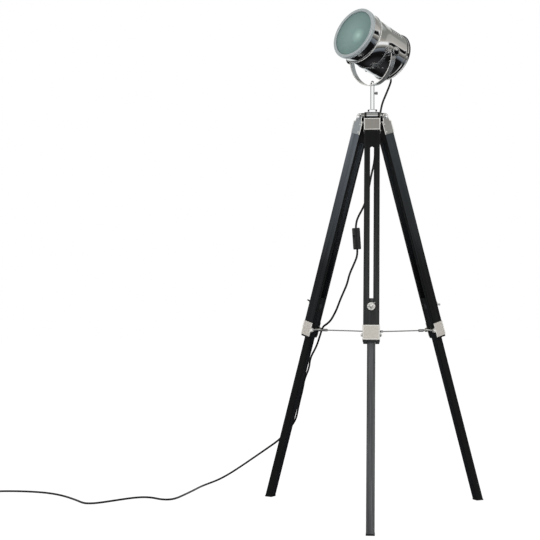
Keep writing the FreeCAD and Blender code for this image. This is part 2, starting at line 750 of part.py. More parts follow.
def make_lens():
    """Frosted front glass, slightly crowned, held between the bezel and the drum."""
    rim = drum_radius - barrel_wall - 1.5
    seat = -bezel_front + bezel_lip
    flat = bezel_opening - 3
    z = head_rise
    back = seat + lens_thickness

    sphere = (flat ** 2 + lens_crown ** 2) / (2 * lens_crown)

    def crown(radius, base):
        return base - lens_crown + sphere - math.sqrt(sphere ** 2 - radius ** 2)

    edges = [
        line((0, crown(0, seat), z), (0, crown(0, back), z)),
        arc((0, crown(0, back), z), (0, crown(flat / 2, back), z + flat / 2),
            (0, back, z + flat)),
        line((0, back, z + flat), (0, back, z + rim)),
        line((0, back, z + rim), (0, seat, z + rim)),
        line((0, seat, z + rim), (0, seat, z + flat)),
        arc((0, seat, z + flat), (0, crown(flat / 2, seat), z + flat / 2),
            (0, crown(0, seat), z)),
    ]
    return turned(edges, ALONG_Y, (0, 0, head_rise))


def make_reflector():
    """Spun bowl, open at the front and at the bulb's neck."""
    front = -bezel_front + bezel_lip + lens_thickness
    neck = front + reflector_depth
    z = head_rise
    ra, rb, w = reflector_front_radius, reflector_neck_radius, reflector_wall
    middle = front + reflector_depth * 0.62
    mid_radius = ra * 0.76
    rim = drum_radius - barrel_wall
    edges = [
        line((0, front, z + ra), (0, front, z + rim)),
        line((0, front, z + rim), (0, front + w, z + rim)),
        line((0, front + w, z + rim), (0, front + w, z + ra + w)),
        arc((0, front + w, z + ra + w), (0, middle + w, z + mid_radius + w), (0, neck + w, z + rb)),
        line((0, neck + w, z + rb), (0, neck, z + rb)),
        arc((0, neck, z + rb), (0, middle, z + mid_radius), (0, front, z + ra)),
    ]
    return turned(edges, ALONG_Y, (0, 0, head_rise))


def make_rear_cap():
    z = head_rise
    inner = barrel_radius
    outer = barrel_radius + rear_wall
    front = barrel_rear - rear_skirt
    edge = barrel_rear + 0.6
    crown_inner = (0, edge + rear_crown, z)
    crown_outer = (0, edge + rear_crown + rear_wall, z)
    edges = [
        line((0, front, z + inner), (0, front, z + outer)),
        line((0, front, z + outer), (0, edge, z + outer)),
        arc((0, edge, z + outer), (0, edge + 2.2, z + outer - 0.8), (0, edge + 3, z + outer - 3)),
        arc((0, edge + 3, z + outer - 3), (0, edge + 2 + rear_crown * 0.62, z + outer * 0.5),
            crown_outer),
        line(crown_outer, crown_inner),
        arc(crown_inner, (0, edge + 0.6 + rear_crown * 0.62, z + inner * 0.5),
            (0, edge + 1.4, z + inner - 3)),
        line((0, edge + 1.4, z + inner - 3), (0, edge, z + inner)),
        line((0, edge, z + inner), (0, front, z + inner)),
    ]
    cap = turned(edges, ALONG_Y, (0, 0, head_rise))
    bead = Part.makeTorus(outer, rear_bead_radius, Vector(0, barrel_rear - 1.5, head_rise), ALONG_Y)
    bead = bead.cut(rod(inner, 40, (0, barrel_rear - 20, head_rise), ALONG_Y))
    cap = join([cap, bead])
    for k in range(back_hole_count):
        angle = math.radians(360 * k / back_hole_count + 22.5)
        x = back_hole_circle * math.cos(angle)
        hole_z = head_rise + back_hole_circle * math.sin(angle)
        cap = cap.cut(rod(back_hole_radius, 60, (x, barrel_rear - 10, hole_z), ALONG_Y))
    cap = cap.cut(rod(gland_root_radius, 60, (gland_side, barrel_rear - 10, gland_height), ALONG_Y))
    return cap.cut(rod(5.0, 60, (0, barrel_rear - 10, head_rise), ALONG_Y))


def make_gland():
    start = barrel_rear + 2
    seat = barrel_rear + gland_foot
    base = rod(gland_root_radius, seat - start, (gland_side, start, gland_height), ALONG_Y)
    flange = rod(gland_root_radius + 2, 2.0, (gland_side, seat - 0.2, gland_height), ALONG_Y)
    sleeve = cone(gland_root_radius, gland_tip_radius, gland_length,
                  (gland_side, seat, gland_height), ALONG_Y)
    return join([base, flange, sleeve])


def make_saddle_band():
    return sector(barrel_radius + band_gap, band_outer, -band_front, band_rear,
                  180 + band_end_angle, 360 - band_end_angle)


def make_pivot_bosses():
    bosses = []
    for side in (-1, 1):
        tip = arm_inner - boss_gap
        boss = cone(boss_tip_radius, boss_root_radius, tip - barrel_radius + boss_depth,
                    (side * tip, 0, 0), ALONG_X * -side)
        boss = boss.cut(rod(band_outer, 100, (0, -50, head_rise), ALONG_Y))
        bore = rod(stud_radius + bore_clearance, 12, (side * tip, 0, 0), ALONG_X * -side)
        bosses.append(boss.cut(bore))
    return Part.makeCompound(bosses)


def make_band_screws():
    screws = []
    for side in (-1, 1):
        for angle in band_screw_angles:
            a = math.radians(-angle)
            direction = Vector(side * math.cos(a), 0, math.sin(a))
            base = Vector(0, band_screw_station, head_rise) + direction * band_outer
            head = Part.makeSphere(band_screw_radius * 1.25,
                                   base - direction * band_screw_radius * 0.75)
            head = head.cut(rod(band_outer, 60, (0, band_screw_station - 30, head_rise), ALONG_Y))
            screws.append(head)
    return Part.makeCompound(screws)


def make_holder():
    """Lamp holder on a threaded tube through the rear cap, with its lock nut behind."""
    mouth = -holder_front
    body = rod(holder_radius, holder_length, (0, mouth, head_rise), ALONG_Y)
    body = body.makeChamfer(2.0, [e for e in body.Edges
                                  if e.Curve.TypeId == "Part::GeomCircle"
                                  and e.CenterOfMass.y > mouth + holder_length - 1])
    body = body.cut(rod(holder_radius - 3, bulb_reach + 1, (0, mouth - 1, head_rise), ALONG_Y))
    crown = barrel_rear + 0.6 + rear_crown
    tube = rod(5.0, crown + 9 - mouth - holder_length, (0, mouth + holder_length - 0.5, head_rise),
               ALONG_Y)
    nut = rod(8.0, 4.0, (0, crown + rear_wall, head_rise), ALONG_Y)
    return join([body, tube, nut])


def make_bulb():
    z = head_rise
    ball = Part.makeSphere(bulb_radius, Vector(0, bulb_centre, z))
    neck_end = -holder_front - 4
    neck = cone(bulb_radius * 0.8, bulb_neck_radius, neck_end - bulb_centre - 12,
                (0, bulb_centre + 12, z), ALONG_Y)
    screw = rod(bulb_neck_radius, 26.0, (0, neck_end - 0.2, z), ALONG_Y)
    tip = cone(bulb_neck_radius, 5.0, bulb_reach - 21.5, (0, neck_end + 25.5, z), ALONG_Y)
    return join([ball, neck, screw, tip])


def make_knob(side):
    """Fluted clamp knob with its stud, on the head's pivot axis."""
    base = arm_outer + slide_gap
    washer = rod(stud_radius + 4.5, knob_washer, (side * base, 0, 0), ALONG_X * side)
    start = base + knob_washer - 0.1
    wheel = rod(knob_radius, knob_length, (side * start, 0, 0), ALONG_X * side)
    rims = [e for e in wheel.Edges if e.Curve.TypeId == "Part::GeomCircle"]
    wheel = wheel.makeFillet(1.4, rims)
    for k in range(knob_flutes):
        angle = 2 * math.pi * k / knob_flutes
        y = (knob_radius + 0.4) * math.cos(angle)
        z = (knob_radius + 0.4) * math.sin(angle)
        wheel = wheel.cut(rod(knob_flute_radius, knob_length + 2, (side * (start - 1), y, z),
                              ALONG_X * side))
    stud = rod(stud_radius, base + 1 - arm_inner + 11, (side * (arm_inner - 11), 0, 0),
               ALONG_X * side)
    return join([washer, wheel, stud])


# ---------------------------------------------------------------- mains lead
def cord_path(points):
    """Straight runs joined by tangent arcs, and the list of the arcs' radii."""
    stops = [Vector(*p) for p in points]
    edges, radii = [], []
    start = stops[0]
    for i in range(1, len(stops) - 1):
        before, corner, after = stops[i - 1], stops[i], stops[i + 1]
        run_in, run_out = corner - before, after - corner
        turn = run_in.getAngle(run_out)
        reach = 0.45 * min(run_in.Length, run_out.Length)
        radii.append(reach / math.tan(turn / 2))
        back = (before - corner).normalize()
        ahead = (after - corner).normalize()
        enter = corner + back * reach
        leave = corner + ahead * reach
        bisector = (back + ahead).normalize()
        centre = corner + bisector * (radii[-1] / math.cos(turn / 2))
        middle = centre - bisector * radii[-1]
        edges.append(Part.LineSegment(start, enter).toShape())
        edges.append(Part.Arc(enter, middle, leave).toShape())
        start = leave
    edges.append(Part.LineSegment(start, stops[-1]).toShape())
    return Part.Wire(edges), radii


def make_cord(name, points):
    path, radii = cord_path(points)
    first = Vector(*points[1]) - Vector(*points[0])
    ring = Part.Wire(Part.Circle(Vector(*points[0]), first, cord_radius).toShape())
    tube = path.makePipeShell([ring], True, False)
    expected = math.pi * cord_radius ** 2 * path.Length
    print(name, "length %.0f" % path.Length, "volume share %.4f" % (tube.Volume / expected),
          "tightest arcs", [round(r) for r in sorted(radii)[:6]])
    return tube


def switch_placement():
    top, bottom = Vector(*switch_top), Vector(*switch_bottom)
    axis = (top - bottom).normalize()
    turn = Rotation(UP, axis).multiply(Rotation(UP, -60))
    return Placement((top + bottom) * 0.5, turn)


def make_switch_body():
    length = (Vector(*switch_top) - Vector(*switch_bottom)).Length
    half_w, half_d, half_l = switch_width / 2, switch_depth / 2, length / 2
    body = block(-half_w, half_w, -half_d, half_d, -half_l, half_l)
    body = body.makeFillet(5.0, upright_edges(body))
    ends = [e for e in body.Edges if abs(abs(e.CenterOfMass.z) - half_l) < 0.01]
    body = body.makeFillet(3.0, ends)
    well = block(-rocker_width / 2 - slide_gap, rocker_width / 2 + slide_gap,
                 -half_d - 1, -half_d + 6, -rocker_length / 2 - slide_gap,
                 rocker_length / 2 + slide_gap)
    return body.cut(well).cut(rocker_pin(bore_clearance))


def rocker_pin(clearance):
    reach = rocker_width / 2 + rocker_pin_reach + clearance
    start = (-reach, -switch_depth / 2 + rocker_pivot_depth, 0)
    return rod(rocker_pin_radius + clearance, 2 * reach, start, ALONG_X)


def make_rocker():
    half_d = switch_depth / 2
    half = rocker_length / 2
    x0, x1 = -rocker_width / 2, rocker_width / 2
    front = -half_d - rocker_rise * 0.35
    face = Part.Face(Part.Wire([
        line((x0, -half_d + 3.0, -half * 0.82), (x0, front, -half * 0.97)),
        arc((x0, front, -half * 0.97), (x0, front + 0.9, 0), (x0, front, half * 0.97)),
        line((x0, front, half * 0.97), (x0, -half_d + 3.0, half * 0.82)),
        arc((x0, -half_d + 3.0, half * 0.82), (x0, -half_d + 4.4, 0),
            (x0, -half_d + 3.0, -half * 0.82)),
    ]))
    rocker = join([face.extrude(Vector(x1 - x0, 0, 0)), rocker_pin(0)])
    tilt_now = Rotation(ALONG_X, rocker_swing / 2)
    pivot = Vector(0, -half_d + rocker_pivot_depth, 0)
    return placed(rocker, Placement(pivot - tilt_now.multVec(pivot), tilt_now))


def plug_placement():
    return Placement(Vector(plug_start[0], plug_start[1], 0), Rotation(UP, plug_heading))


def make_plug_body():
    """Flat two-pin plug, lying on the floor, its lead in line with its middle."""
    half = plug_width / 2
    height = plug_height
    cable = 2 * cord_radius
    sleeve = cone(4.2, 6.0, 14, (0, 0, cord_radius), ALONG_X)
    wire = Part.Wire(outline([(12, -6, 0), (12, 6, 0), (22, half, 0),
                              (plug_length, half, 0), (plug_length, -half, 0), (22, -half, 0)]))
    body = Part.Face(wire).extrude(Vector(0, 0, height))
    body = body.makeFillet(2.5, upright_edges(body))
    top_rim = [e for e in body.Edges if abs(e.CenterOfMass.z - height) < 0.01]
    body = body.makeChamfer(1.5, top_rim)
    sleeve = sleeve.common(block(-1, 40, -cable, cable, 0, height))
    return join([body, sleeve])


def make_plug_pins():
    pins = []
    for side in (-1, 1):
        start = (plug_length, side * plug_pin_pitch / 2, plug_height / 2)
        pin = rod(plug_pin_radius, plug_pin_length, start, ALONG_X)
        pin = pin.makeFillet(0.9, [e for e in pin.Edges if e.Curve.TypeId == "Part::GeomCircle"
                                   and e.CenterOfMass.x > plug_length + 1])
        pins.append(pin)
    return Part.makeCompound(pins)


# ---------------------------------------------------------------- assembly
def build():
    nodes = {}
    leg_names = ("front", "right", "left")
    upper, cap, rivets, clamp = make_upper_leg(), make_leg_cap(), make_cap_rivets(), make_clamp()
    bolt, bar, pad = make_spreader_bolt(), make_lower_leg(), make_foot_pad()
    bar = bar.cut(floor_slab(-200, pad_thickness))
    lock, wing, arm_rod = make_lock_bolt(), make_wing_nut(), make_rod()
    for name, azimuth in zip(leg_names, leg_azimuths):
        seat = leg_placement(azimuth)
        nodes["upper_leg_" + name] = placed(upper, seat)
        nodes["leg_cap_" + name] = placed(cap, seat)
        nodes["cap_rivets_" + name] = placed(rivets, seat)
        nodes["leg_clamp_" + name] = placed(clamp, seat)
        nodes["spreader_bolt_" + name] = placed(bolt, seat)
        nodes["lower_leg_" + name] = placed(bar, seat)
        nodes["foot_pad_" + name] = placed(pad, seat)
        nodes["lock_bolt_" + name] = placed(lock, seat)
        nodes["wing_nut_" + name] = placed(wing, seat)
        nodes["spreader_rod_" + name] = placed(arm_rod, hub_placement(azimuth))
    nodes["spreader_spider"] = make_spider()
    nodes["hub_casting"] = make_hub()
    nodes["hinge_bolts"] = make_hinge_bolts()
    nodes["stem_tube"] = make_stem()
    nodes["thumb_screw"] = make_thumb_screw()

    nodes["yoke_strap"] = placed(make_yoke(), yoke_placement())
    nodes["swivel_pin"] = make_swivel_pin()
    nodes["acorn_nut"] = make_acorn_nut()

    head = head_placement()
    for name, shape in (
            ("barrel", make_barrel()), ("front_drum", make_front_drum()),
            ("bezel_ring", make_bezel()), ("front_glass", make_lens()),
            ("reflector", make_reflector()), ("rear_cap", make_rear_cap()),
            ("cord_gland", make_gland()), ("saddle_band", make_saddle_band()),
            ("pivot_bosses", make_pivot_bosses()), ("band_screws", make_band_screws()),
            ("lamp_holder", make_holder()), ("bulb", make_bulb()),
            ("tilt_knob_right", make_knob(1)), ("tilt_knob_left", make_knob(-1))):
        nodes[name] = placed(shape, head)

    lead_start = barrel_rear + gland_foot + gland_length + gland_gap
    exit_point = head.multVec(Vector(gland_side, lead_start, gland_height))
    first = [(exit_point.x, exit_point.y, exit_point.z)]
    nodes["lead_upper"] = make_cord("lead_upper", first + upper_route + [switch_top])
    plug = plug_placement()
    plug_end = plug.multVec(Vector(0, 0, cord_radius))
    last = [(plug_end.x, plug_end.y, plug_end.z)]
    nodes["lead_lower"] = make_cord("lead_lower", [switch_bottom] + lower_route + last)
    nodes["switch_body"] = placed(make_switch_body(), switch_placement())
    nodes["switch_rocker"] = placed(make_rocker(), switch_placement())
    nodes["plug_body"] = placed(make_plug_body(), plug)
    nodes["plug_pins"] = placed(make_plug_pins(), plug)
    return nodes


def origin_shift(nodes):
    """Puts the origin under the middle of the lamp's box, measured without the lead."""
    on_lead = ("lead_", "switch_", "plug_")
    box = FreeCAD.BoundBox()
    for name, shape in nodes.items():
        if not name.startswith(on_lead):
            box.add(shape.optimalBoundingBox(False))
    return Vector(-(box.XMin + box.XMax) / 2, -(box.YMin + box.YMax) / 2, 0)


NODES = build()
SHIFT = origin_shift(NODES)
for node_name, node_shape in NODES.items():
    moved = placed(node_shape, Placement(SHIFT, Rotation()))
    moved.exportStep("parts/" + node_name + ".step")
    NODES[node_name] = moved
    if not moved.isValid() or moved.Volume <= 0:
        print("CHECK", node_name, moved.isValid(), round(moved.Volume, 1))
print("nodes", len(NODES), "solids", sum(len(s.Solids) for s in NODES.values()),
      "shift %.3f %.3f" % (SHIFT.x, SHIFT.y))
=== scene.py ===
import json
import math

import bmesh
import bpy
from mathutils import Matrix, Vector


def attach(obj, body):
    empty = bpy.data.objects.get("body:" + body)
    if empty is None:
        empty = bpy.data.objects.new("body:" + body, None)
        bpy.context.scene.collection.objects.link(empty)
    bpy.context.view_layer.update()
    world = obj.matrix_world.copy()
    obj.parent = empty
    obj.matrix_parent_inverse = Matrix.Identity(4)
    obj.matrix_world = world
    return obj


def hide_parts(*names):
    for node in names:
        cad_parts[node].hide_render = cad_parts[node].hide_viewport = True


bl_info = {
    "name": "Tripod Spotlight Floor Lamp",
    "version": (1, 0, 0),
    "blender": (4, 5, 0),
    "location": "View3D > Sidebar > Lamp",
    "description": "Chromed spot head on a swivelling yoke and three telescopic wooden legs",
    "category": "Object",
}

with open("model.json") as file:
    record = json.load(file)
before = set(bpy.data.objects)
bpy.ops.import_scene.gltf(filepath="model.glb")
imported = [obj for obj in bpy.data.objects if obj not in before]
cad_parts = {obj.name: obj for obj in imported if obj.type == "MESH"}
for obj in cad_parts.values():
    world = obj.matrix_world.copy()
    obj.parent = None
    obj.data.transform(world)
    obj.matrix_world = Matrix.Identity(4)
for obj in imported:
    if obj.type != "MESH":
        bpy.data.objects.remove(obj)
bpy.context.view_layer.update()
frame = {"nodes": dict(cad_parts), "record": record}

JOINTS = {joint["name"]: joint for joint in frame["record"]["behaviour"]["joints"]}
LAMP_AXIS = Vector(JOINTS["yoke_pan"]["pos_m"])
PIVOT = Vector(JOINTS["head_tilt"]["pos_m"])
PIVOT_AXIS = Vector(JOINTS["head_tilt"]["axis"])
LEGS = ("front", "right", "left")
HEAD_UP = math.radians(19.0)          # the stored head looks up by this much
QUARTER = math.radians(90)
MERGE = 1e-6                          # corners closer than this are one
BEZEL_LIP = 0.0032                    # from the bezel's face back to the glass
SKIN = 0.0002                         # depth of the finest grain in a surface
FIT = 0.0001                          # the least gap between two surfaces
CLEAR = 0.0003                        # between the yoke's strap and what turns against it


def head_matrix():
    """Head frame: pivots on X, the head looking along -Y, its barrel above the pivots."""
    pan = math.atan2(PIVOT_AXIS.y, PIVOT_AXIS.x)
    turn = Matrix.Rotation(pan, 4, "Z") @ Matrix.Rotation(-HEAD_UP, 4, "X")
    return Matrix.Translation(PIVOT) @ turn


def leg_matrix(name):
    """Leg frame: X across, Y outwards, Z up the leg, with its origin at the hinge."""
    joint = JOINTS["leg_fold_" + name]
    across = -Vector(joint["axis"])
    up = Vector(JOINTS["leg_slide_" + name]["axis"])
    out = up.cross(across)
    turn = Matrix((across, out, up)).transposed().to_4x4()
    return Matrix.Translation(Vector(joint["pos_m"])) @ turn


# ---------------------------------------------------------------- sizes and colours
def length(name, text, default):
    return bpy.props.FloatProperty(name=name, description=text, default=default, min=0.0,
                                   unit="LENGTH", subtype="DISTANCE", precision=4)


def shade(name, text, default):
    return bpy.props.StringProperty(name=name, description=text, default=default)


class LampHeadSizes(bpy.types.PropertyGroup):
    axis_rise: length("Axis rise", "Barrel axis above the pivots", 0.028)
    barrel_radius: length("Barrel radius", "Outside of the barrel", 0.0705)
    barrel_rear: length("Barrel rear", "Barrel's rear end behind the pivots", 0.074)
    wall: length("Wall", "Sheet thickness of the barrel", 0.0012)
    drum_radius: length("Drum radius", "Outside of the front drum", 0.074)
    drum_front: length("Drum front", "Drum's front end ahead of the pivots", 0.088)
    drum_rear: length("Drum rear", "Step between drum and barrel", 0.053)
    bezel_radius: length("Bezel radius", "Outside of the bezel", 0.0765)
    bezel_opening: length("Bezel opening", "Radius of the glass that shows", 0.067)
    bezel_front: length("Bezel front", "Bezel's face ahead of the pivots", 0.0935)
    bezel_skirt: length("Bezel skirt", "How far the bezel reaches back", 0.011)
    glass_crown: length("Glass crown", "Rise of the glass at its middle", 0.0035)
    glass_thickness: length("Glass thickness", "Thickness of the front glass", 0.003)
    vent_pitch: length("Vent pitch", "From one vent to the next", 0.011)
    vent_width: length("Vent width", "Width of a vent", 0.0036)
    vent_first: length("First vent", "First vent behind the pivots", 0.002)
    band_front: length("Band front", "Saddle band ahead of the pivots", 0.008)
    band_rear: length("Band rear", "Saddle band behind the pivots", 0.032)
    band_wall: length("Band wall", "Thickness of the saddle band", 0.0013)


class LampYokeSizes(bpy.types.PropertyGroup):
    radius: length("Radius", "Middle of the strap", 0.084)
    strap: length("Strap", "Thickness of the strap", 0.0025)
    knob_radius: length("Knob radius", "Outside of a tilt knob", 0.0135)
    knob_length: length("Knob length", "Length of a tilt knob", 0.010)
    knob_washer: length("Knob washer", "Thickness of a knob's washer", 0.0015)


class LampLeadSizes(bpy.types.PropertyGroup):
    diameter: length("Diameter", "Outside of the mains lead", 0.006)
    gland_side: length("Gland side", "Gland beside the head's middle", 0.036)
    gland_drop: length("Gland drop", "Gland below the pivots", 0.002)
    gland_foot: length("Gland foot", "Gland's flange behind the barrel's end", 0.0075)
    gland_length: length("Gland length", "Tapered part of the gland", 0.020)


class LampColours(bpy.types.PropertyGroup):
    wood_dark: shade("Wood, dark", "Darkest of the black stain", "070808")
    wood_light: shade("Wood, light", "Black stain along the paler grain", "1D1F21")
    nickel: shade("Nickel", "Satin plate of the front cap", "A8A5A0")
    chrome: shade("Chrome", "Polished saddle, stem and hub", "E4E5E6")
    glass: shade("Glass", "Frosted front glass", "6C8682")
    plastic: shade("Plastic", "Lead and its strain relief", "141416")


# ---------------------------------------------------------------- mesh helpers
def finished(name, bm, body, material, node=None, matrix=None, sharp=35.0):
    """Turns a bmesh into a piece that rides on a body, and may stand for a CAD node."""
    bmesh.ops.remove_doubles(bm, verts=bm.verts, dist=MERGE)
    bmesh.ops.recalc_face_normals(bm, faces=bm.faces)
    if matrix:
        bmesh.ops.transform(bm, matrix=matrix, verts=bm.verts)
    for face in bm.faces:
        face.smooth = True
    for edge in bm.edges:
        if len(edge.link_faces) == 2:
            edge.smooth = edge.calc_face_angle(0.0) < math.radians(sharp)
    mesh = bpy.data.meshes.new(name)
    bm.to_mesh(mesh)
    bm.free()
    mesh.materials.append(MATERIALS[material])
    piece = bpy.data.objects.new(name, mesh)
    bpy.context.scene.collection.objects.link(piece)
    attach(piece, body)
    if node:
        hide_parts(node)
    return piece


def on_head(name, bm, material, node=None, sharp=35.0):
    """A piece of the head, modelled in the head's own frame."""
    return finished(name, bm, "head", material, node, head_matrix(), sharp)


def turned(points, steps, rise=0.0, closed=True):
    """A turned shape about the Y axis, rise above it: points are (station, radius)."""
    bm = bmesh.new()
    verts = [bm.verts.new((0.0, station, rise + radius)) for station, radius in points]
    edges = [bm.edges.new(pair) for pair in zip(verts, verts[1:])]
    if closed:
        edges.append(bm.edges.new((verts[-1], verts[0])))
    bmesh.ops.spin(bm, geom=verts + edges, cent=(0, 0, rise), axis=(0, 1, 0),
                   angle=math.tau, steps=steps, use_merge=True)
    bmesh.ops.remove_doubles(bm, verts=bm.verts, dist=MERGE)
    return bm


def laid_across(bm):
    """Lays a shape turned about the Y axis along the X axis, where the pivots are."""
    bmesh.ops.rotate(bm, verts=bm.verts, cent=(0, 0, 0),
                     matrix=Matrix.Rotation(-QUARTER, 3, "Z"))
    return bm


def rounded(start, corner, end, radius, parts=4):
    """Points of a rounded corner between two straight stretches."""
    start, corner, end = Vector(start), Vector(corner), Vector(end)
    first = corner + (start - corner).normalized() * radius
    last = corner + (end - corner).normalized() * radius
    points = []
    for k in range(parts + 1):
        t = k / parts
        points.append(tuple((1 - t) ** 2 * first + 2 * t * (1 - t) * corner + t ** 2 * last))
    return points


def rolled(station, radius, bead, parts=8):
    """Points over a rolled bead, a half circle that stands out of a turned profile."""
    angles = [math.pi * k / parts for k in range(parts + 1)]
    return [(station - bead * math.cos(angle), radius + bead * math.sin(angle))
            for angle in angles]


def bevelled(piece, width):
    modifier = piece.modifiers.new("edges", "BEVEL")
    modifier.width = width
    modifier.segments = 2
    modifier.limit_method = "ANGLE"
    modifier.angle_limit = math.radians(30)


def thickened(piece, thickness, offset):
    modifier = piece.modifiers.new("wall", "SOLIDIFY")
    modifier.thickness = thickness
    modifier.offset = offset
    modifier.use_even_offset = True
    return modifier


def dressed(node, body, material, edge=0.0, painted_highlight_border=0.0, cuts=()):
    """A merged, smoothly shaded copy of a CAD node, standing for it, with eased edges.

    A border is a band of that width around each wide flat face, painted as a highlight.
    Faces are split where X is one of the cuts, so that two materials can meet there.
    """
    nearly_flat = math.radians(0.5)
    bm = bmesh.new()
    bm.from_mesh(frame["nodes"][node].data)
    bmesh.ops.remove_doubles(bm, verts=bm.verts, dist=MERGE)
    bmesh.ops.dissolve_limit(bm, angle_limit=nearly_flat, verts=bm.verts, edges=bm.edges)
    for cut in cuts:
        bmesh.ops.bisect_plane(bm, geom=bm.verts[:] + bm.edges[:] + bm.faces[:],
                               plane_co=(cut, 0, 0), plane_no=(1, 0, 0))
    if painted_highlight_border:
        wide_area = (6 * painted_highlight_border) ** 2
        wide = [face for face in bm.faces if face.calc_area() > wide_area]
        band = bmesh.ops.inset_region(bm, faces=wide, thickness=painted_highlight_border, use_even_offset=True)
        for face in band["faces"]:
            face.material_index = 1
    piece = finished(node + "_finished", bm, body, material, node=node, sharp=28.0)
    if painted_highlight_border:
        piece.data.materials.append(MATERIALS["painted_highlight"])
    if edge:
        bevelled(piece, edge)
    return piece


def trimmed(piece, material, matrix, chosen):
    """Gives a second material to the faces chosen by middle and normal, in the given frame."""
    piece.data.materials.append(MATERIALS[material])
    inverse = matrix.inverted()
    turn = inverse.to_3x3()
    for face in piece.data.polygons:
        if chosen(inverse @ face.center, turn @ face.normal):
            face.material_index = 1


# ---------------------------------------------------------------- material helpers
MATERIALS = {}


def linear(code):
    """An sRGB hex code as linear RGBA."""
    channels = [int(code[i:i + 2], 16) / 255 for i in (0, 2, 4)]
    return tuple(c / 12.92 if c <= 0.04045 else ((c + 0.055) / 1.055) ** 2.4
                 for c in channels) + (1.0,)


def add(tree, kind, inputs=None, stops=(), **settings):
    """Adds a node with its settings, inputs and, on a ramp, its stops: (position, colour).

    An input is a value or another node's output, and a colour is a hex code or RGBA.
    """
    node = tree.nodes.new(kind)
    for key, value in settings.items():
        setattr(node, key, value)
    for key, value in (inputs or {}).items():
        if isinstance(value, bpy.types.NodeSocket):
            tree.links.new(value, node.inputs[key])
        else:
            node.inputs[key].default_value = linear(value) if isinstance(value, str) else value
    if stops:
        elements = node.color_ramp.elements
        while len(elements) < len(stops):
            elements.new(0.5)
        for element, (position, value) in zip(elements, stops):
            element.position = position
            element.color = linear(value) if isinstance(value, str) else value
    return node


def new_material(name):
    material = bpy.data.materials.new(name)
    material.use_nodes = True
    material.node_tree.nodes.clear()
    return material, material.node_tree


def object_space(tree, matrix=None):
    """Object coordinates, turned and moved into a piece's own frame."""
    coords = add(tree, "ShaderNodeTexCoord").outputs["Object"]
    if matrix is None:
        return coords
    inverse = matrix.inverted()
    return add(tree, "ShaderNodeMapping",
               {"Vector": coords, "Location": inverse.to_translation(),
                "Rotation": inverse.to_euler("XYZ")}).outputs[0]


def stained_wood(name, matrix, top, bottom):
    """Pine under a black stain: open grain that reads as fine, slightly paler streaks.

    Its three tints change from the hinge down to the clamp as painted sheen and shade.
    """
    material, tree = new_material(name)
    pore_width = 0.0016               # real pores are finer, and this is what shows
    ring_width = 0.011
    pore_depth = 0.0004
    along_grain = 0.022               # pores and rings are drawn out by its inverse
    fade_start, fade_end = -0.08, -0.45
    space = object_space(tree, matrix)
    streak = add(tree, "ShaderNodeMapping",
                 {"Vector": space, "Scale": (1, 1, along_grain)}).outputs[0]
    pores = add(tree, "ShaderNodeTexNoise", {"Vector": streak, "Scale": 1 / pore_width / 2,
                                             "Detail": 6.0, "Roughness": 0.62}).outputs[0]
    rings = add(tree, "ShaderNodeTexNoise", {"Vector": streak, "Scale": 1 / ring_width,
                                             "Detail": 3.0, "Distortion": 0.8}).outputs[0]
    both = add(tree, "ShaderNodeMath", {0: pores, 1: rings}, operation="MULTIPLY").outputs[0]
    upper, lower = (add(tree, "ShaderNodeValToRGB", {"Fac": both},
                        stops=tuple(zip((0.12, 0.30, 0.48), tints))).outputs[0]
                    for tints in (top, bottom))
    # painted light and shade: the upper tints blend into the lower ones down the leg
    drop = add(tree, "ShaderNodeSeparateXYZ", {"Vector": space}).outputs["Z"]
    painted_light_fade = add(tree, "ShaderNodeMapRange",
               {"Value": drop, "From Min": fade_start, "From Max": fade_end}).outputs[0]
    tint = add(tree, "ShaderNodeMix", {"Factor": painted_light_fade, "A": upper, "B": lower},
               data_type="RGBA").outputs["Result"]
    rough = add(tree, "ShaderNodeMapRange",
                {"Value": pores, "To Min": 0.36, "To Max": 0.6}).outputs[0]
    bump = add(tree, "ShaderNodeBump", {"Height": pores, "Strength": 0.35,
                                        "Distance": pore_depth}).outputs[0]
    shader = add(tree, "ShaderNodeBsdfPrincipled",
                 {"Base Color": tint, "Roughness": rough, "Normal": bump, "IOR": 1.5,
                  "Specular IOR Level": 0.22})
    add(tree, "ShaderNodeOutputMaterial", {"Surface": shader.outputs[0]})
    return material


def metal(name, colour, roughness, grain, matrix=None, stretch=(1, 1, 1), bump=0.02,
          metallic=1.0, low=None):
    """A plated metal: its colour, and a faint unevenness of its polish or brushing.

    With low, a second colour takes over below the piece's own X-Y plane, as a painted reflection.
    """
    material, tree = new_material(name)
    cloud_size = 0.05
    spread = 0.06                     # how much rougher its dull patches are
    blend = 0.02                      # half the height over which low takes over
    space = object_space(tree, matrix)
    scaled = add(tree, "ShaderNodeMapping", {"Vector": space, "Scale": stretch}).outputs[0]
    fine = add(tree, "ShaderNodeTexNoise", {"Vector": scaled, "Scale": 1 / grain,
                                            "Detail": 4.0}).outputs[0]
    cloud = add(tree, "ShaderNodeTexNoise", {"Vector": space, "Scale": 1 / cloud_size,
                                             "Detail": 2.0}).outputs[0]
    mixed = add(tree, "ShaderNodeMath", {0: fine, 1: cloud}, operation="MULTIPLY").outputs[0]
    height = add(tree, "ShaderNodeBump", {"Height": fine, "Strength": bump,
                                          "Distance": SKIN}).outputs[0]
    rough = add(tree, "ShaderNodeMapRange",
                {"Value": mixed, "From Min": 0.1, "From Max": 0.5,
                 "To Min": max(roughness - spread / 2, 0.01),
                 "To Max": roughness + spread}).outputs[0]
    tint = colour
    if low:
        rise = add(tree, "ShaderNodeSeparateXYZ", {"Vector": space}).outputs["Z"]
        share = add(tree, "ShaderNodeMapRange",
                    {"Value": rise, "From Min": -blend, "From Max": blend}).outputs[0]
        tint = add(tree, "ShaderNodeValToRGB", {"Fac": share},
                   stops=((0.0, low), (1.0, colour))).outputs[0]
    shader = add(tree, "ShaderNodeBsdfPrincipled",
                 {"Base Color": tint, "Metallic": metallic, "Roughness": rough,
                  "Normal": height})
    add(tree, "ShaderNodeOutputMaterial", {"Surface": shader.outputs[0]})
    return material


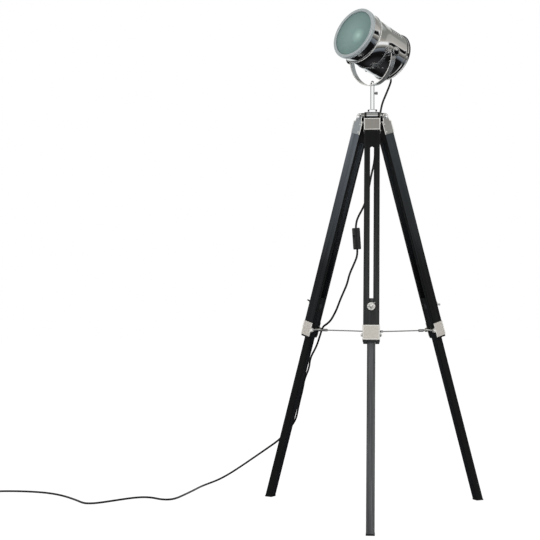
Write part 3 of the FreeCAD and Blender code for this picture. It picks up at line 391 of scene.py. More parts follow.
def plastic(name, colour, roughness, grain, ior=1.5, bump=0.1):
    """Moulded plastic or rubber with the fine grain of its mould."""
    material, tree = new_material(name)
    fine = add(tree, "ShaderNodeTexNoise", {"Vector": object_space(tree), "Scale": 1 / grain,
                                            "Detail": 3.0}).outputs[0]
    height = add(tree, "ShaderNodeBump", {"Height": fine, "Strength": bump,
                                          "Distance": SKIN}).outputs[0]
    rough = add(tree, "ShaderNodeMapRange",
                {"Value": fine, "From Min": 0.3, "From Max": 0.7,
                 "To Min": roughness - 0.06, "To Max": roughness + 0.08}).outputs[0]
    shader = add(tree, "ShaderNodeBsdfPrincipled",
                 {"Base Color": colour, "IOR": ior, "Normal": height, "Roughness": rough})
    add(tree, "ShaderNodeOutputMaterial", {"Surface": shader.outputs[0]})
    return material


def frosted_glass(colours, matrix):
    """Soda-lime glass, acid-etched inside; its shade near the rim and its soft glow are painted.
    """
    material, tree = new_material("frosted_soda_lime_glass")
    etch_grain = 0.0012               # the etching is finer, and this is what shows
    painted_glow_radius = 0.024
    painted_glow_side, painted_glow_drop = 0.024, 0.012
    space = object_space(tree, matrix)
    etch = add(tree, "ShaderNodeTexNoise", {"Vector": space, "Scale": 1 / etch_grain,
                                            "Detail": 4.0}).outputs[0]
    height = add(tree, "ShaderNodeBump", {"Height": etch, "Strength": 0.05,
                                          "Distance": SKIN}).outputs[0]

    def spot(x, z, radius):
        """1 in the middle of a soft spot on the glass, and 0 from its radius on."""
        placed = add(tree, "ShaderNodeMapping", {
            "Vector": space, "Location": (-x / radius, 0.0, -z / radius),
            "Scale": (1 / radius, 0.01, 1 / radius)}).outputs[0]
        return add(tree, "ShaderNodeTexGradient", {"Vector": placed},
                   gradient_type="SPHERICAL").outputs["Fac"]

    sizes = bpy.context.scene.lamp_head
    pane = spot(0.0, sizes.axis_rise, sizes.bezel_opening * 1.04)
    # painted shade near the rim and a paler painted middle
    shaded = add(tree, "ShaderNodeValToRGB", {"Fac": pane},
                 stops=((0.02, "4C625E"), (0.09, colours.glass), (0.75, "7F9995"))).outputs[0]
    # painted glow of the lit bulb, off the glass's middle
    painted_glow_spot = spot(painted_glow_side, sizes.axis_rise - painted_glow_drop, painted_glow_radius)
    glow = add(tree, "ShaderNodeValToRGB", {"Fac": painted_glow_spot},
               stops=((0.0, (0, 0, 0, 1)), (0.6, (0.35, 0.35, 0.35, 1)),
                      (1.0, (0.8, 0.8, 0.8, 1)))).outputs[0]
    tint = add(tree, "ShaderNodeMix", {"Factor": glow, "A": shaded, "B": "B2D2C8"},
               data_type="RGBA").outputs["Result"]
    frost = add(tree, "ShaderNodeBsdfPrincipled",
                {"Base Color": tint, "Roughness": 0.30, "IOR": 1.52, "Normal": height,
                 "Transmission Weight": 0.2, "Coat Weight": 0.15, "Coat Roughness": 0.2})
    add(tree, "ShaderNodeOutputMaterial", {"Surface": frost.outputs[0]})
    return material


def opal_glass():
    """Opal glass of a bulb: white all through, with a skin of clear gloss."""
    material, tree = new_material("opal_bulb_glass")
    cloud_size = 0.02
    cloud = add(tree, "ShaderNodeTexNoise", {"Vector": object_space(tree),
                                             "Scale": 1 / cloud_size,
                                             "Detail": 2.0}).outputs[0]
    tint = add(tree, "ShaderNodeValToRGB", {"Fac": cloud},
               stops=((0.3, "F1EFE8"), (0.7, "FBFAF5"))).outputs[0]
    shader = add(tree, "ShaderNodeBsdfPrincipled", {"Base Color": tint, "Roughness": 0.25,
                                                    "Coat Weight": 0.5, "IOR": 1.5})
    add(tree, "ShaderNodeOutputMaterial", {"Surface": shader.outputs[0]})
    return material


def make_woods(colours):
    """The stain on each leg's rail and bar: dark, middle and light tints, top and bottom.

    They differ from leg to leg and between rail and bar as painted light and shade.
    """
    black = (colours.wood_dark, "0D0E10", colours.wood_light)
    grey, slate = ("303133", "474849", "606163"), ("41464C", "595E64", "747A80")
    shaded, dim = ("262A2E", "343A3E", "4A5156"), ("1C1D1E", "2C2D2E", "444546")
    dusk = ("0E1012", "171A1D", "272B2F")
    # painted light and shade: each leg's rail and bar has its own lit or shaded tints
    tints = {"front": (black, dim, grey), "left": (slate, dusk, black),
             "right": (shaded, black, black)}
    for name, (top, bottom, bar) in tints.items():
        for part, upper, lower in (("rail", top, bottom), ("bar", bar, bar)):
            MATERIALS[part + "_" + name] = stained_wood("stained_pine_painted_light_" + part + "_" + name,
                                                        leg_matrix(name), upper, lower)


def make_materials(colours):
    head = head_matrix()
    make_woods(colours)
    # Chrome plate on steel, buffed: it mirrors the room, a little softened by its buffing
    MATERIALS["chrome"] = metal("polished_chrome_plate", colours.chrome, 0.05, 0.003, bump=0.01)
    # Chrome plate on a rough casting: blurred, and dark grey as painted shade
    MATERIALS["cast"] = metal("plated_casting_painted_shade", "4A4A49", 0.14, 0.002, bump=0.03)
    # Chrome plate on rolled strip: an even, pale grey with a soft mirror
    MATERIALS["strap"] = metal("chromed_strip", "B9BBBC", 0.2, 0.002, metallic=0.8)
    # Chrome plate on spun steel: faint rings around the head blur its mirror along them
    MATERIALS["spun_chrome"] = metal("spun_chrome_plate", "D9DADB", 0.07, 0.0022, head,
                                     (0.15, 1, 0.15), bump=0.015)
    # Nickel plate over brushed steel: warm grey with soft, broad highlights.
    # Each cap and the clamps get their own grey: painted light and shade.
    for name, tint in (("front", colours.nickel), ("left", "9FA5A9"), ("right", "9E9E9B"),
                       ("clamp", "E3DFD8")):
        MATERIALS["nickel_" + name] = metal("satin_nickel_painted_light_" + name, tint, 0.38, 0.0012,
                                            stretch=(1, 1, 0.08), bump=0.12, metallic=0.7)
    # Chrome plate, brushed: a cool grey ring with a wide sheen
    MATERIALS["bezel"] = metal("satin_chrome_bezel", "C3CBCE", 0.30, 0.001, head, (0.2, 1, 0.2),
                               bump=0.05, metallic=0.6)
    # Edges and small heads: paler than the faces beside them, a painted highlight
    MATERIALS["painted_highlight"] = metal("painted_highlight_edges", "F1F0EC", 0.26, 0.0015, metallic=0.45)
    # Chrome plate on a rolled rim: painted reflection, dark above and bright below
    MATERIALS["rim"] = metal("rolled_rim_painted_reflection", "2A2B2D", 0.2, 0.0015, head, low="FBFBFA",
                             metallic=0.4)
    # Bare steel, dark grey: painted shade behind the vents
    MATERIALS["sooted"] = metal("barrel_inside", "2A2A2A", 0.5, 0.002, metallic=0.3)
    # Zinc plate on turned steel: cooler and a little duller than chrome
    MATERIALS["zinc"] = metal("bright_zinc_plate", "D2D4D5", 0.27, 0.0015, bump=0.04)
    # Aluminium, spun and left bare: soft silver with fine rings
    MATERIALS["aluminium"] = metal("spun_aluminium", "D8D9DA", 0.22, 0.0015, head,
                                   (0.2, 1, 0.2), bump=0.08)
    # PVC and ABS, moulded: a soft sheen on nearly black
    MATERIALS["pvc"] = plastic("black_pvc_sheath", colours.plastic, 0.38, 0.0009)
    MATERIALS["abs"] = plastic("black_abs_moulding", "101012", 0.32, 0.0006)
    # Phenolic, pressed hot: hard and brownish black. Rubber, moulded: dull black
    MATERIALS["phenolic"] = plastic("phenolic_lamp_holder", "17140F", 0.35, 0.001, ior=1.6)
    MATERIALS["rubber"] = plastic("black_rubber_foot", "0E0E0F", 0.7, 0.0008, bump=0.2)
    MATERIALS["glass"] = frosted_glass(colours, head)
    MATERIALS["opal"] = opal_glass()


# ---------------------------------------------------------------- operators
class LAMP_OT_leads(bpy.types.Operator):
    """Mains lead: from the head to the switch, on to the plug, and its strain relief"""

    bl_idname = "lamp.leads"
    bl_label = "Mains lead"

    upper_route = (
        (0.046, 0.1005, 1.276), (0.051, 0.1055, 1.269), (0.0535, 0.1075, 1.260),
        (0.053, 0.106, 1.2505), (0.036, 0.0835, 1.206), (0.0285, 0.074, 1.187),
        (0.0235, 0.062, 1.163), (0.020, 0.051, 1.136), (0.014, 0.042, 1.100),
        (0.008, 0.033, 1.062), (0.007, 0.025, 1.028), (0.004, 0.017, 1.000),
        (-0.003, 0.008, 0.970), (-0.009, -0.001, 0.937), (-0.015, -0.010, 0.903),
        (-0.026, -0.019, 0.873), (-0.039, -0.027, 0.849), (-0.046, -0.032, 0.831),
    )
    switch_top = (-0.047, -0.033, 0.814)
    switch_bottom = (-0.043, -0.031, 0.752)
    lower_route = (
        (-0.042, -0.030, 0.736), (-0.052, -0.026, 0.711), (-0.066, -0.017, 0.681),
        (-0.073, -0.006, 0.652), (-0.085, 0.007, 0.626), (-0.096, 0.022, 0.601),
        (-0.104, 0.036, 0.580), (-0.114, 0.051, 0.560), (-0.125, 0.064, 0.542),
        (-0.138, 0.079, 0.531), (-0.149, 0.092, 0.524), (-0.158, 0.103, 0.496),
        (-0.169, 0.117, 0.463), (-0.189, 0.130, 0.428), (-0.192, 0.132, 0.397),
        (-0.207, 0.144, 0.364), (-0.212, 0.148, 0.335), (-0.221, 0.158, 0.300),
        (-0.229, 0.168, 0.268), (-0.234, 0.175, 0.241), (-0.247, 0.179, 0.219),
        (-0.266, 0.179, 0.196), (-0.291, 0.181, 0.170), (-0.320, 0.203, 0.148),
        (-0.350, 0.243, 0.124), (-0.383, 0.300, 0.097), (-0.415, 0.350, 0.071),
        (-0.446, 0.392, 0.047), (-0.477, 0.418, 0.025), (-0.509, 0.416, 0.008),
        (-0.533, 0.378, 0.003), (-0.550, 0.318, 0.003), (-0.561, 0.252, 0.003),
        (-0.573, 0.190, 0.003), (-0.583, 0.142, 0.003), (-0.594, 0.098, 0.003),
        (-0.611, 0.076, 0.003), (-0.637, 0.080, 0.003), (-0.664, 0.105, 0.003),
        (-0.694, 0.114, 0.003), (-0.725, 0.097, 0.003), (-0.758, 0.062, 0.003),
        (-0.793, 0.022, 0.003), (-0.819, -0.003, 0.003), (-0.845, -0.008, 0.003),
        (-0.864, 0.012, 0.003), (-0.884, 0.041, 0.003), (-0.933, 0.101, 0.003),
        (-0.978, 0.141, 0.003), (-1.028, 0.166, 0.003), (-1.094, 0.178, 0.003),
        (-1.156, 0.174, 0.003), (-1.196, 0.158, 0.003),
    )
    plug_cable_end = (-1.232, 0.136, 0.003)
    upper_length = 0.512
    lower_length = 2.174

    neck_start, neck_radius = 0.002, 0.0065
    flange_under, flange_over = 0.0004, 0.0018   # the flange, before and behind its seat
    flange_radius, flange_ease, flange_chamfer = 0.0085, 0.0004, 0.0005
    ribs = 7
    rib_radius, rib_taper = 0.0064, 0.0024
    rib_spacing = 0.88                           # of the pitch, which leaves a plain end
    rib_shape = ((0.0, 0.0007), (0.25, 0.0), (0.6, 0.0002), (0.7, 0.0008))
    sleeve_end_radius = 0.0038

    def lead(self, name, node, points, real_length, lay, far_end, parts):
        """A lead as one round curve through its points, standing for a CAD node."""
        sizes = bpy.context.scene.lamp_lead
        curve = bpy.data.curves.new(name, "CURVE")
        curve.dimensions = "3D"
        curve.bevel_depth = sizes.diameter / 2
        curve.bevel_resolution = 4
        curve.use_fill_caps = True
        spline = curve.splines.new("NURBS")
        spline.points.add(len(points) - 1)
        for point, place in zip(spline.points, points):
            point.co = (*place, 1.0)
        spline.order_u = 3
        spline.use_endpoint_u = True
        spline.resolution_u = 8
        curve.materials.append(MATERIALS["pvc"])
        piece = bpy.data.objects.new(name, curve)
        bpy.context.scene.collection.objects.link(piece)
        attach(piece, "frame")
        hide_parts(node)

    def strain_relief(self, sizes, rear):
        """Ribbed, tapering sleeve on the rear cap; a rib is (share of pitch, depth) points."""
        start = rear + self.neck_start
        seat = rear + sizes.gland_foot
        under, foot = seat - self.flange_under, seat + self.flange_over
        end = seat + sizes.gland_length
        profile = [(start, 0.0), (start, self.neck_radius), (under, self.neck_radius),
                   (under, self.flange_radius), (foot - self.flange_ease, self.flange_radius),
                   (foot, self.flange_radius - self.flange_chamfer)]
        pitch = sizes.gland_length / self.ribs
        for k in range(self.ribs):
            station = foot + k * pitch * self.rib_spacing
            radius = self.rib_radius - self.rib_taper * (k / self.ribs)
            profile += [(station + pitch * share, radius - depth)
                        for share, depth in self.rib_shape]
        profile += [(end, self.sleeve_end_radius), (end, 0.0)]
        bm = turned(profile, 48, closed=False)
        bmesh.ops.translate(bm, verts=bm.verts, vec=(-sizes.gland_side, 0, -sizes.gland_drop))
        on_head("strain_relief", bm, "pvc", "cord_gland")

    def execute(self, context):
        sizes = context.scene.lamp_lead
        rear = context.scene.lamp_head.barrel_rear
        self.strain_relief(sizes, rear)
        clear = 0.0002                # between the sleeve's end and the lead's own end
        across = Vector((LAMP_AXIS.x, LAMP_AXIS.y, 0.0))
        tip = Vector((-sizes.gland_side, rear + sizes.gland_foot + sizes.gland_length + clear,
                      -sizes.gland_drop))
        upper = [head_matrix() @ tip]
        upper += [across + Vector(p) for p in self.upper_route + (self.switch_top,)]
        lower = [across + Vector(p) for p in
                 (self.switch_bottom,) + self.lower_route + (self.plug_cable_end,)]
        self.lead("lead_to_switch", "lead_upper", upper, self.upper_length, lay="hanging",
                  far_end="fitting", parts=["switch_body", "switch_rocker"])
        self.lead("lead_to_plug", "lead_lower", lower, self.lower_length, lay="loose",
                  far_end="plug", parts=["plug_body", "plug_pins"])
        return {"FINISHED"}


class LAMP_OT_head_shell(bpy.types.Operator):
    """Barrel with its vents, front drum, bezel and rear cap of the spot head"""

    bl_idname = "lamp.head_shell"
    bl_label = "Head shell"

    vent_count = 4
    vent_middle = 47.0                # degrees from the top, on both sides
    vent_spread = 11.0

    def barrel(self, head):
        lap = 0.003                   # the barrel reaches this far into the drum
        stations = [-head.drum_rear - lap]
        for k in range(self.vent_count):
            middle = head.vent_first + k * head.vent_pitch
            stations += [middle - head.vent_width / 2, middle + head.vent_width / 2]
        stations += [(stations[-1] + head.barrel_rear) / 2, head.barrel_rear]
        bm = turned([(y, head.barrel_radius) for y in stations], 180, head.axis_rise, closed=False)
        slots = []
        for face in bm.faces:
            centre = face.calc_center_median()
            off_top = math.degrees(abs(math.atan2(centre.x, centre.z - head.axis_rise)))
            k = round((centre.y - head.vent_first) / head.vent_pitch)
            inside = 0 <= k < self.vent_count and abs(
                centre.y - head.vent_first - k * head.vent_pitch) < head.vent_width / 2
            if inside and abs(off_top - self.vent_middle) < self.vent_spread:
                slots.append(face)
        bmesh.ops.delete(bm, geom=slots, context="FACES")
        piece = on_head("barrel_shell", bm, "spun_chrome", "barrel")
        # the barrel's inside is painted dark grey as shade behind the vents
        piece.data.materials.append(MATERIALS["sooted"])
        wall = thickened(piece, head.wall, offset=-1.0)
        wall.material_offset = 1
        wall.material_offset_rim = 1

    def front_drum(self, head):
        inner = head.drum_radius - head.wall
        step = -head.drum_rear
        bead, sunk = 0.0017, 0.0004
        middle = step - 0.0010
        profile = [(-head.drum_front, inner), (-head.drum_front, head.drum_radius),
                   (step - 2 * bead, head.drum_radius)]
        profile += rolled(middle, head.drum_radius - sunk, bead)
        profile += [(middle + bead, head.barrel_radius + 4 * FIT),
                    (step - head.wall, head.barrel_radius + 2 * FIT), (step - head.wall, inner)]
        piece = on_head("front_drum_shell", turned(profile, 160, head.axis_rise), "spun_chrome",
                        "front_drum")
        crest = head.drum_radius + bead * 0.35
        # the bead's crest gets a painted highlight
        trimmed(piece, "painted_highlight", head_matrix(),
                lambda place, normal: math.hypot(place.x, place.z - head.axis_rise) > crest)

    def bezel(self, head):
        rear = -head.bezel_front + head.bezel_skirt
        front, seat = -head.bezel_front, -head.bezel_front + BEZEL_LIP
        outer, inner = head.bezel_radius, head.bezel_opening
        bore = head.drum_radius + FIT
        groove, groove_mouth, groove_floor, groove_depth = rear - 0.0034, 0.0006, 0.0002, 0.0005
        rear_round, front_round, lip_round = 0.0006, 0.0030, 0.0026
        profile = [(rear, bore)]
        profile += rounded((rear, head.drum_radius), (rear, outer), (front, outer), rear_round, 3)
        profile += [(groove + groove_mouth, outer), (groove + groove_floor, outer - groove_depth),
                    (groove - groove_floor, outer - groove_depth), (groove - groove_mouth, outer)]
        profile += rounded((rear, outer), (front, outer), (front, inner), front_round, 6)
        profile += rounded((front, outer), (front, inner), (seat, inner), lip_round, 6)
        profile += [(seat, inner), (seat, bore)]
        on_head("bezel", turned(profile, 192, head.axis_rise), "bezel", "bezel_ring", sharp=50)

    def rear_cap(self, head):
        """Domed pressing with a rolled rim, open in its middle for the holder's tube."""
        wall, skirt, edge_rise = 0.0013, 0.008, 0.0006
        bead, bead_place = 0.0016, 0.0015
        shoulder_lift, shoulder_round = 0.0031, 0.0026
        crown, middle, rim_depth = 0.0084, 0.005, 0.004
        dome_inset, dome_fullness = 0.0045, 1.2
        outer = head.barrel_radius + wall + FIT
        edge = head.barrel_rear + edge_rise
        front = head.barrel_rear - skirt
        profile = [(front, outer - wall), (front, outer)]
        profile += rolled(head.barrel_rear - bead_place, outer, bead)
        profile += rounded((edge - 0.001, outer), (edge + 0.0030, outer),
                           (edge + shoulder_lift, outer - rim_depth), shoulder_round, 5)
        parts = 12
        for k in range(1, parts + 1):
            t = k / parts
            radius = (outer - dome_inset) * (1 - t) + middle * t
            swell = math.sin(t * math.pi / 2) ** dome_fullness
            profile.append((edge + shoulder_lift + (crown - shoulder_lift) * swell, radius))
        profile.append((edge + crown - wall, middle))
        piece = on_head("rear_cap_shell", turned(profile, 160, head.axis_rise, closed=False),
                        "spun_chrome", "rear_cap")
        # the rim's roll gets the painted reflection, dark above and bright below
        trimmed(piece, "rim", head_matrix(), lambda place, normal: (
            place.y > head.barrel_rear - rim_depth
            and math.hypot(place.x, place.z - head.axis_rise) > outer - rim_depth))
        self.vent_holes(head, edge + 0.0068)

    def vent_holes(self, head, station):
        """A ring of small round holes in the rear cap, shown as dark discs of painted shade."""
        count, ring, hole, depth = 8, 0.030, 0.0026, 0.0022
        holes = bmesh.new()
        for k in range(count):
            angle = math.tau * (k + 0.5) / count
            centre = (ring * math.cos(angle), station, head.axis_rise + ring * math.sin(angle))
            place = Matrix.Translation(centre) @ Matrix.Rotation(QUARTER, 4, "X")
            bmesh.ops.create_cone(holes, cap_ends=True, segments=24, radius1=hole,
                                  radius2=hole, depth=depth, matrix=place)
        on_head("rear_vent_holes", holes, "abs")

    def execute(self, context):
        sizes = context.scene.lamp_head
        self.barrel(sizes)
        self.front_drum(sizes)
        self.bezel(sizes)
        self.rear_cap(sizes)
        return {"FINISHED"}


class LAMP_OT_light_source(bpy.types.Operator):
    """Front glass, reflector, lamp holder and bulb"""

    bl_idname = "lamp.light_source"
    bl_label = "Glass and bulb"

    def glass(self, head, seat):
        flat = head.bezel_opening - 0.003
        rim = head.drum_radius - head.wall - 0.0015
        sphere = (flat ** 2 + head.glass_crown ** 2) / (2 * head.glass_crown)
        parts = 12
        front, back = [], []
        for k in range(parts + 1):
            radius = flat * k / parts
            crown = head.glass_crown - sphere + math.sqrt(sphere ** 2 - radius ** 2)
            front.append((seat - crown, radius))
            back.append((seat + head.glass_thickness - crown, radius))
        profile = front + [(seat, rim), (seat + head.glass_thickness, rim)] + back[::-1]
        on_head("frosted_front_glass", turned(profile, 128, head.axis_rise, closed=False), "glass",
                "front_glass", sharp=60)

    def reflector(self, head, glass_back):
        start = glass_back + 2 * FIT
        depth, mouth, neck, fullness = 0.078, 0.066, 0.021, 1.6
        parts = 16
        bowl = [(start, head.drum_radius - head.wall), (start, mouth)]
        for k in range(1, parts + 1):
            t = k / parts
            bowl.append((glass_back + depth * t,
                         neck + (mouth - neck) * math.sqrt(1 - t ** fullness)))
        piece = on_head("reflector_bowl", turned(bowl, 128, head.axis_rise, closed=False),
                        "aluminium", "reflector", sharp=60)
        thickened(piece, thickness=0.001, offset=0.0)

    def execute(self, context):
        sizes = context.scene.lamp_head
        seat = -sizes.bezel_front + BEZEL_LIP
        self.glass(sizes, seat)
        self.reflector(sizes, seat + sizes.glass_thickness)
        dressed("bulb", "head", "opal")
        dressed("lamp_holder", "head", "phenolic")
        return {"FINISHED"}


class LAMP_OT_saddle(bpy.types.Operator):
    """Saddle band under the barrel with its screws and turned pivot bosses"""

    bl_idname = "lamp.saddle"
    bl_label = "Saddle band"

    screw_angles = (38.0, 62.0)       # degrees below the barrel's middle
    screw_station = 0.020
    screw_radius = 0.0034
    end_angle = 6.0
    boss_root, boss_root_radius = 0.060, 0.0102
    boss_end = ((0.0105, 0.0098), (0.0085, 0.0086), (0.0060, 0.0080), (0.0045, 0.0083),
                (0.0010, 0.0083), (0.0002, 0.0077), (0.0, 0.0070))

    def band(self, head, radius):
        start = math.radians(180 + self.end_angle)
        sweep = math.radians(180 - 2 * self.end_angle)
        x, z = radius * math.cos(start), head.axis_rise + radius * math.sin(start)
        bm = bmesh.new()
        rows = [bm.verts.new((x, y, z)) for y in (-head.band_front, head.band_rear)]
        edge = bm.edges.new(rows)
        bmesh.ops.spin(bm, geom=rows + [edge], cent=(0, 0, head.axis_rise), axis=(0, -1, 0),
                       angle=sweep, steps=72, use_merge=False)
        bmesh.ops.solidify(bm, geom=bm.faces[:], thickness=-head.band_wall)
        piece = on_head("saddle_band_plate", bm, "chrome", "saddle_band")
        bevelled(piece, width=0.0004)

    def screws(self, head, radius):
        """Low domed heads, two on each side of the band."""
        flatness = 0.6
        heads = bmesh.new()
        for side in (-1, 1):
            for angle in self.screw_angles:
                lean = math.radians(-angle)
                outward = Vector((side * math.cos(lean), 0, math.sin(lean)))
                base = Vector((0, self.screw_station, head.axis_rise)) + outward * radius
                turn = outward.to_track_quat("Z", "Y").to_matrix().to_4x4()
                made = bmesh.ops.create_uvsphere(heads, u_segments=24, v_segments=12,
                                                 radius=self.screw_radius)
                bmesh.ops.scale(heads, verts=made["verts"], vec=(1, 1, flatness))
                bmesh.ops.transform(heads, verts=made["verts"],
                                    matrix=Matrix.Translation(base) @ turn)
        on_head("band_screw_heads", heads, "zinc", "band_screws")

    def bosses(self, yoke):
        """Turned posts from the saddle out to the yoke, with a waist and a collar.

        The points of boss_end are (distance back from the tip, radius).
        """
        tip = yoke.radius - yoke.strap / 2 - CLEAR
        profile = [(self.boss_root, 0.0), (self.boss_root, self.boss_root_radius)]
        profile += [(tip - back, radius) for back, radius in self.boss_end]
        profile.append((tip, 0.0))
        for side, name in ((1, "right"), (-1, "left")):
            bm = turned([(side * y, r) for y, r in profile], 64, closed=False)
            on_head("pivot_boss_" + name, laid_across(bm), "chrome", "pivot_bosses")

    def execute(self, context):
        sizes = context.scene.lamp_head
        inside = sizes.barrel_radius + FIT
        self.band(sizes, inside)
        self.screws(sizes, inside + sizes.band_wall)
        self.bosses(context.scene.lamp_yoke)
        return {"FINISHED"}


class LAMP_OT_knobs(bpy.types.Operator):
    """Fluted tilt knobs on both ends of the head's pivot"""

    bl_idname = "lamp.knobs"
    bl_label = "Tilt knobs"

    flutes = 18
    flute_depth, flute_zone = 0.0007, 0.0012
    stud_length, stud_radius = 0.012, 0.003
    washer_radius, washer_chamfer = 0.0075, 0.0002
    inner_round, outer_round = 0.0014, 0.0016
    rim_width, rim_bevel, dish_depth = 0.0035, 0.0007, 0.0006
    dimple_radius, dimple_rise = 0.004, 0.0002

    def profile(self, yoke):
        """From the stud's end to the middle of the knob's dished outer face."""
        base = yoke.radius + yoke.strap / 2 + CLEAR
        start = base + yoke.knob_washer
        end = start + yoke.knob_length - FIT
        rim = yoke.knob_radius - self.rim_width
        points = [(base - self.stud_length, 0.0), (base - self.stud_length, self.stud_radius),
                  (base, self.stud_radius), (base, self.washer_radius - self.washer_chamfer),
                  (start, self.washer_radius), (start, yoke.knob_radius - self.inner_round)]
        points += rounded((start, 0), (start, yoke.knob_radius),
                          (start + yoke.knob_length, yoke.knob_radius), self.inner_round, 4)
        points += rounded((start, yoke.knob_radius), (end, yoke.knob_radius), (end, 0),
                          self.outer_round, 4)
        points += [(end, rim), (end - self.dish_depth, rim - self.rim_bevel),
                   (end - self.dish_depth + self.dimple_rise, self.dimple_radius),
                   (end - 0.0003, 0.0)]
        return points

    def execute(self, context):
        yoke = context.scene.lamp_yoke
        for side, name in ((1, "right"), (-1, "left")):
            points = [(side * y, r) for y, r in self.profile(yoke)]
            bm = turned(points, self.flutes * 6, closed=False)
            for vert in bm.verts:
                out = math.hypot(vert.co.x, vert.co.z)
                if out > yoke.knob_radius - self.flute_zone:
                    wave = math.cos(self.flutes * math.atan2(vert.co.z, vert.co.x))
                    shrink = 1 - self.flute_depth * (1 + wave) / 2 / out
                    vert.co.x *= shrink
                    vert.co.z *= shrink
            finished("tilt_knob_" + name + "_turned", laid_across(bm), "knob_" + name, "chrome",
                     "tilt_knob_" + name, head_matrix(), sharp=40)
        return {"FINISHED"}


class LAMP_OT_yoke_and_stem(bpy.types.Operator):
    """Yoke strap, swivel, dome nut, stem tube and its thumb screw"""

    bl_idname = "lamp.yoke_and_stem"
    bl_label = "Yoke and stem"

    def execute(self, context):
        strap = dressed("yoke_strap", "yoke", "strap", edge=0.0004)
        level_head = head_matrix() @ Matrix.Rotation(HEAD_UP, 4, "X")
        # the strap's front and back faces get a painted highlight
        trimmed(strap, "painted_highlight", level_head, lambda place, normal: abs(normal.y) > 0.9)
        for node in ("swivel_pin", "acorn_nut"):
            dressed(node, "yoke", "chrome")
        dressed("stem_tube", "frame", "chrome")
        dressed("thumb_screw", "stem_screw", "chrome")
        return {"FINISHED"}


class LAMP_OT_legs(bpy.types.Operator):
    """Wooden rails and extensions, their caps, clamps, bolts, wing nuts and feet"""

    bl_idname = "lamp.legs"
    bl_label = "Legs"

    wood_edge = 0.0004
    metal_edge = 0.0003
    painted_highlight_border = 0.0018

    def execute(self, context):
        for name in LEGS:
            upper, lower = "leg_" + name, "extension_" + name
            rail = dressed("upper_leg_" + name, upper, "rail_" + name, edge=self.wood_edge)
            if name != "front":
                # the inner side gets the bar's darker tints: painted shade
                trimmed(rail, "bar_" + name, leg_matrix(name),
                        lambda place, normal: normal.y < -0.5)
            dressed("lower_leg_" + name, lower, "bar_" + name, edge=self.wood_edge)
            # each cap's grey and the clamps' paler grey are painted light and shade, with a
            # painted highlight band round their faces
            for node, painted_light_tone in (("leg_cap_", name), ("leg_clamp_", "clamp")):
                dressed(node + name, upper, "nickel_" + painted_light_tone, edge=self.metal_edge,
                        painted_highlight_border=self.painted_highlight_border)
            # rivet and bolt heads get a painted highlight
            for node in ("cap_rivets_", "spreader_bolt_"):
                dressed(node + name, upper, "painted_highlight")
            dressed("foot_pad_" + name, lower, "rubber")
            # the lock bolt gets a painted highlight
            bolt = dressed("lock_bolt_" + name, lower, "painted_highlight")
            # its flat head, sunk in the inner side of the wood, is black
            trimmed(bolt, "abs", leg_matrix(name), lambda place, normal: place.y < 0)
            dressed("wing_nut_" + name, "wing_" + name, "chrome", edge=self.metal_edge)
        return {"FINISHED"}


class LAMP_OT_hub_and_spreader(bpy.types.Operator):
    """Cast hub, hinge bolts, spreader rods and the spider that joins them"""

    bl_idname = "lamp.hub_and_spreader"
    bl_label = "Hub and spreader"

    collar = 0.016                    # the hub is polished this far to each side of the stem

    def execute(self, context):
        hub = dressed("hub_casting", "frame", "chrome", edge=0.0005,
                      cuts=(LAMP_AXIS.x - self.collar, LAMP_AXIS.x + self.collar))
        # beyond the collar the hub's arms are painted dark grey: painted shade
        trimmed(hub, "cast", Matrix.Translation(LAMP_AXIS),
                lambda place, normal: abs(place.x) > self.collar)
        dressed("hinge_bolts", "frame", "chrome")
        dressed("spreader_spider", "spider", "zinc", edge=0.0002)
        for name in LEGS:
            dressed("spreader_rod_" + name, "rod_" + name, "zinc")
        return {"FINISHED"}


class LAMP_OT_switch_and_plug(bpy.types.Operator):
    """In-line switch with its rocker, and the two-pin plug"""

    bl_idname = "lamp.switch_and_plug"
    bl_label = "Switch and plug"

    def execute(self, context):
        for node, material in (("switch_body", "abs"), ("switch_rocker", "abs"),
                               ("plug_body", "abs"), ("plug_pins", "zinc")):
            shown = frame["nodes"][node].data
            shown.materials.clear()
            shown.materials.append(MATERIALS[material])
        return {"FINISHED"}


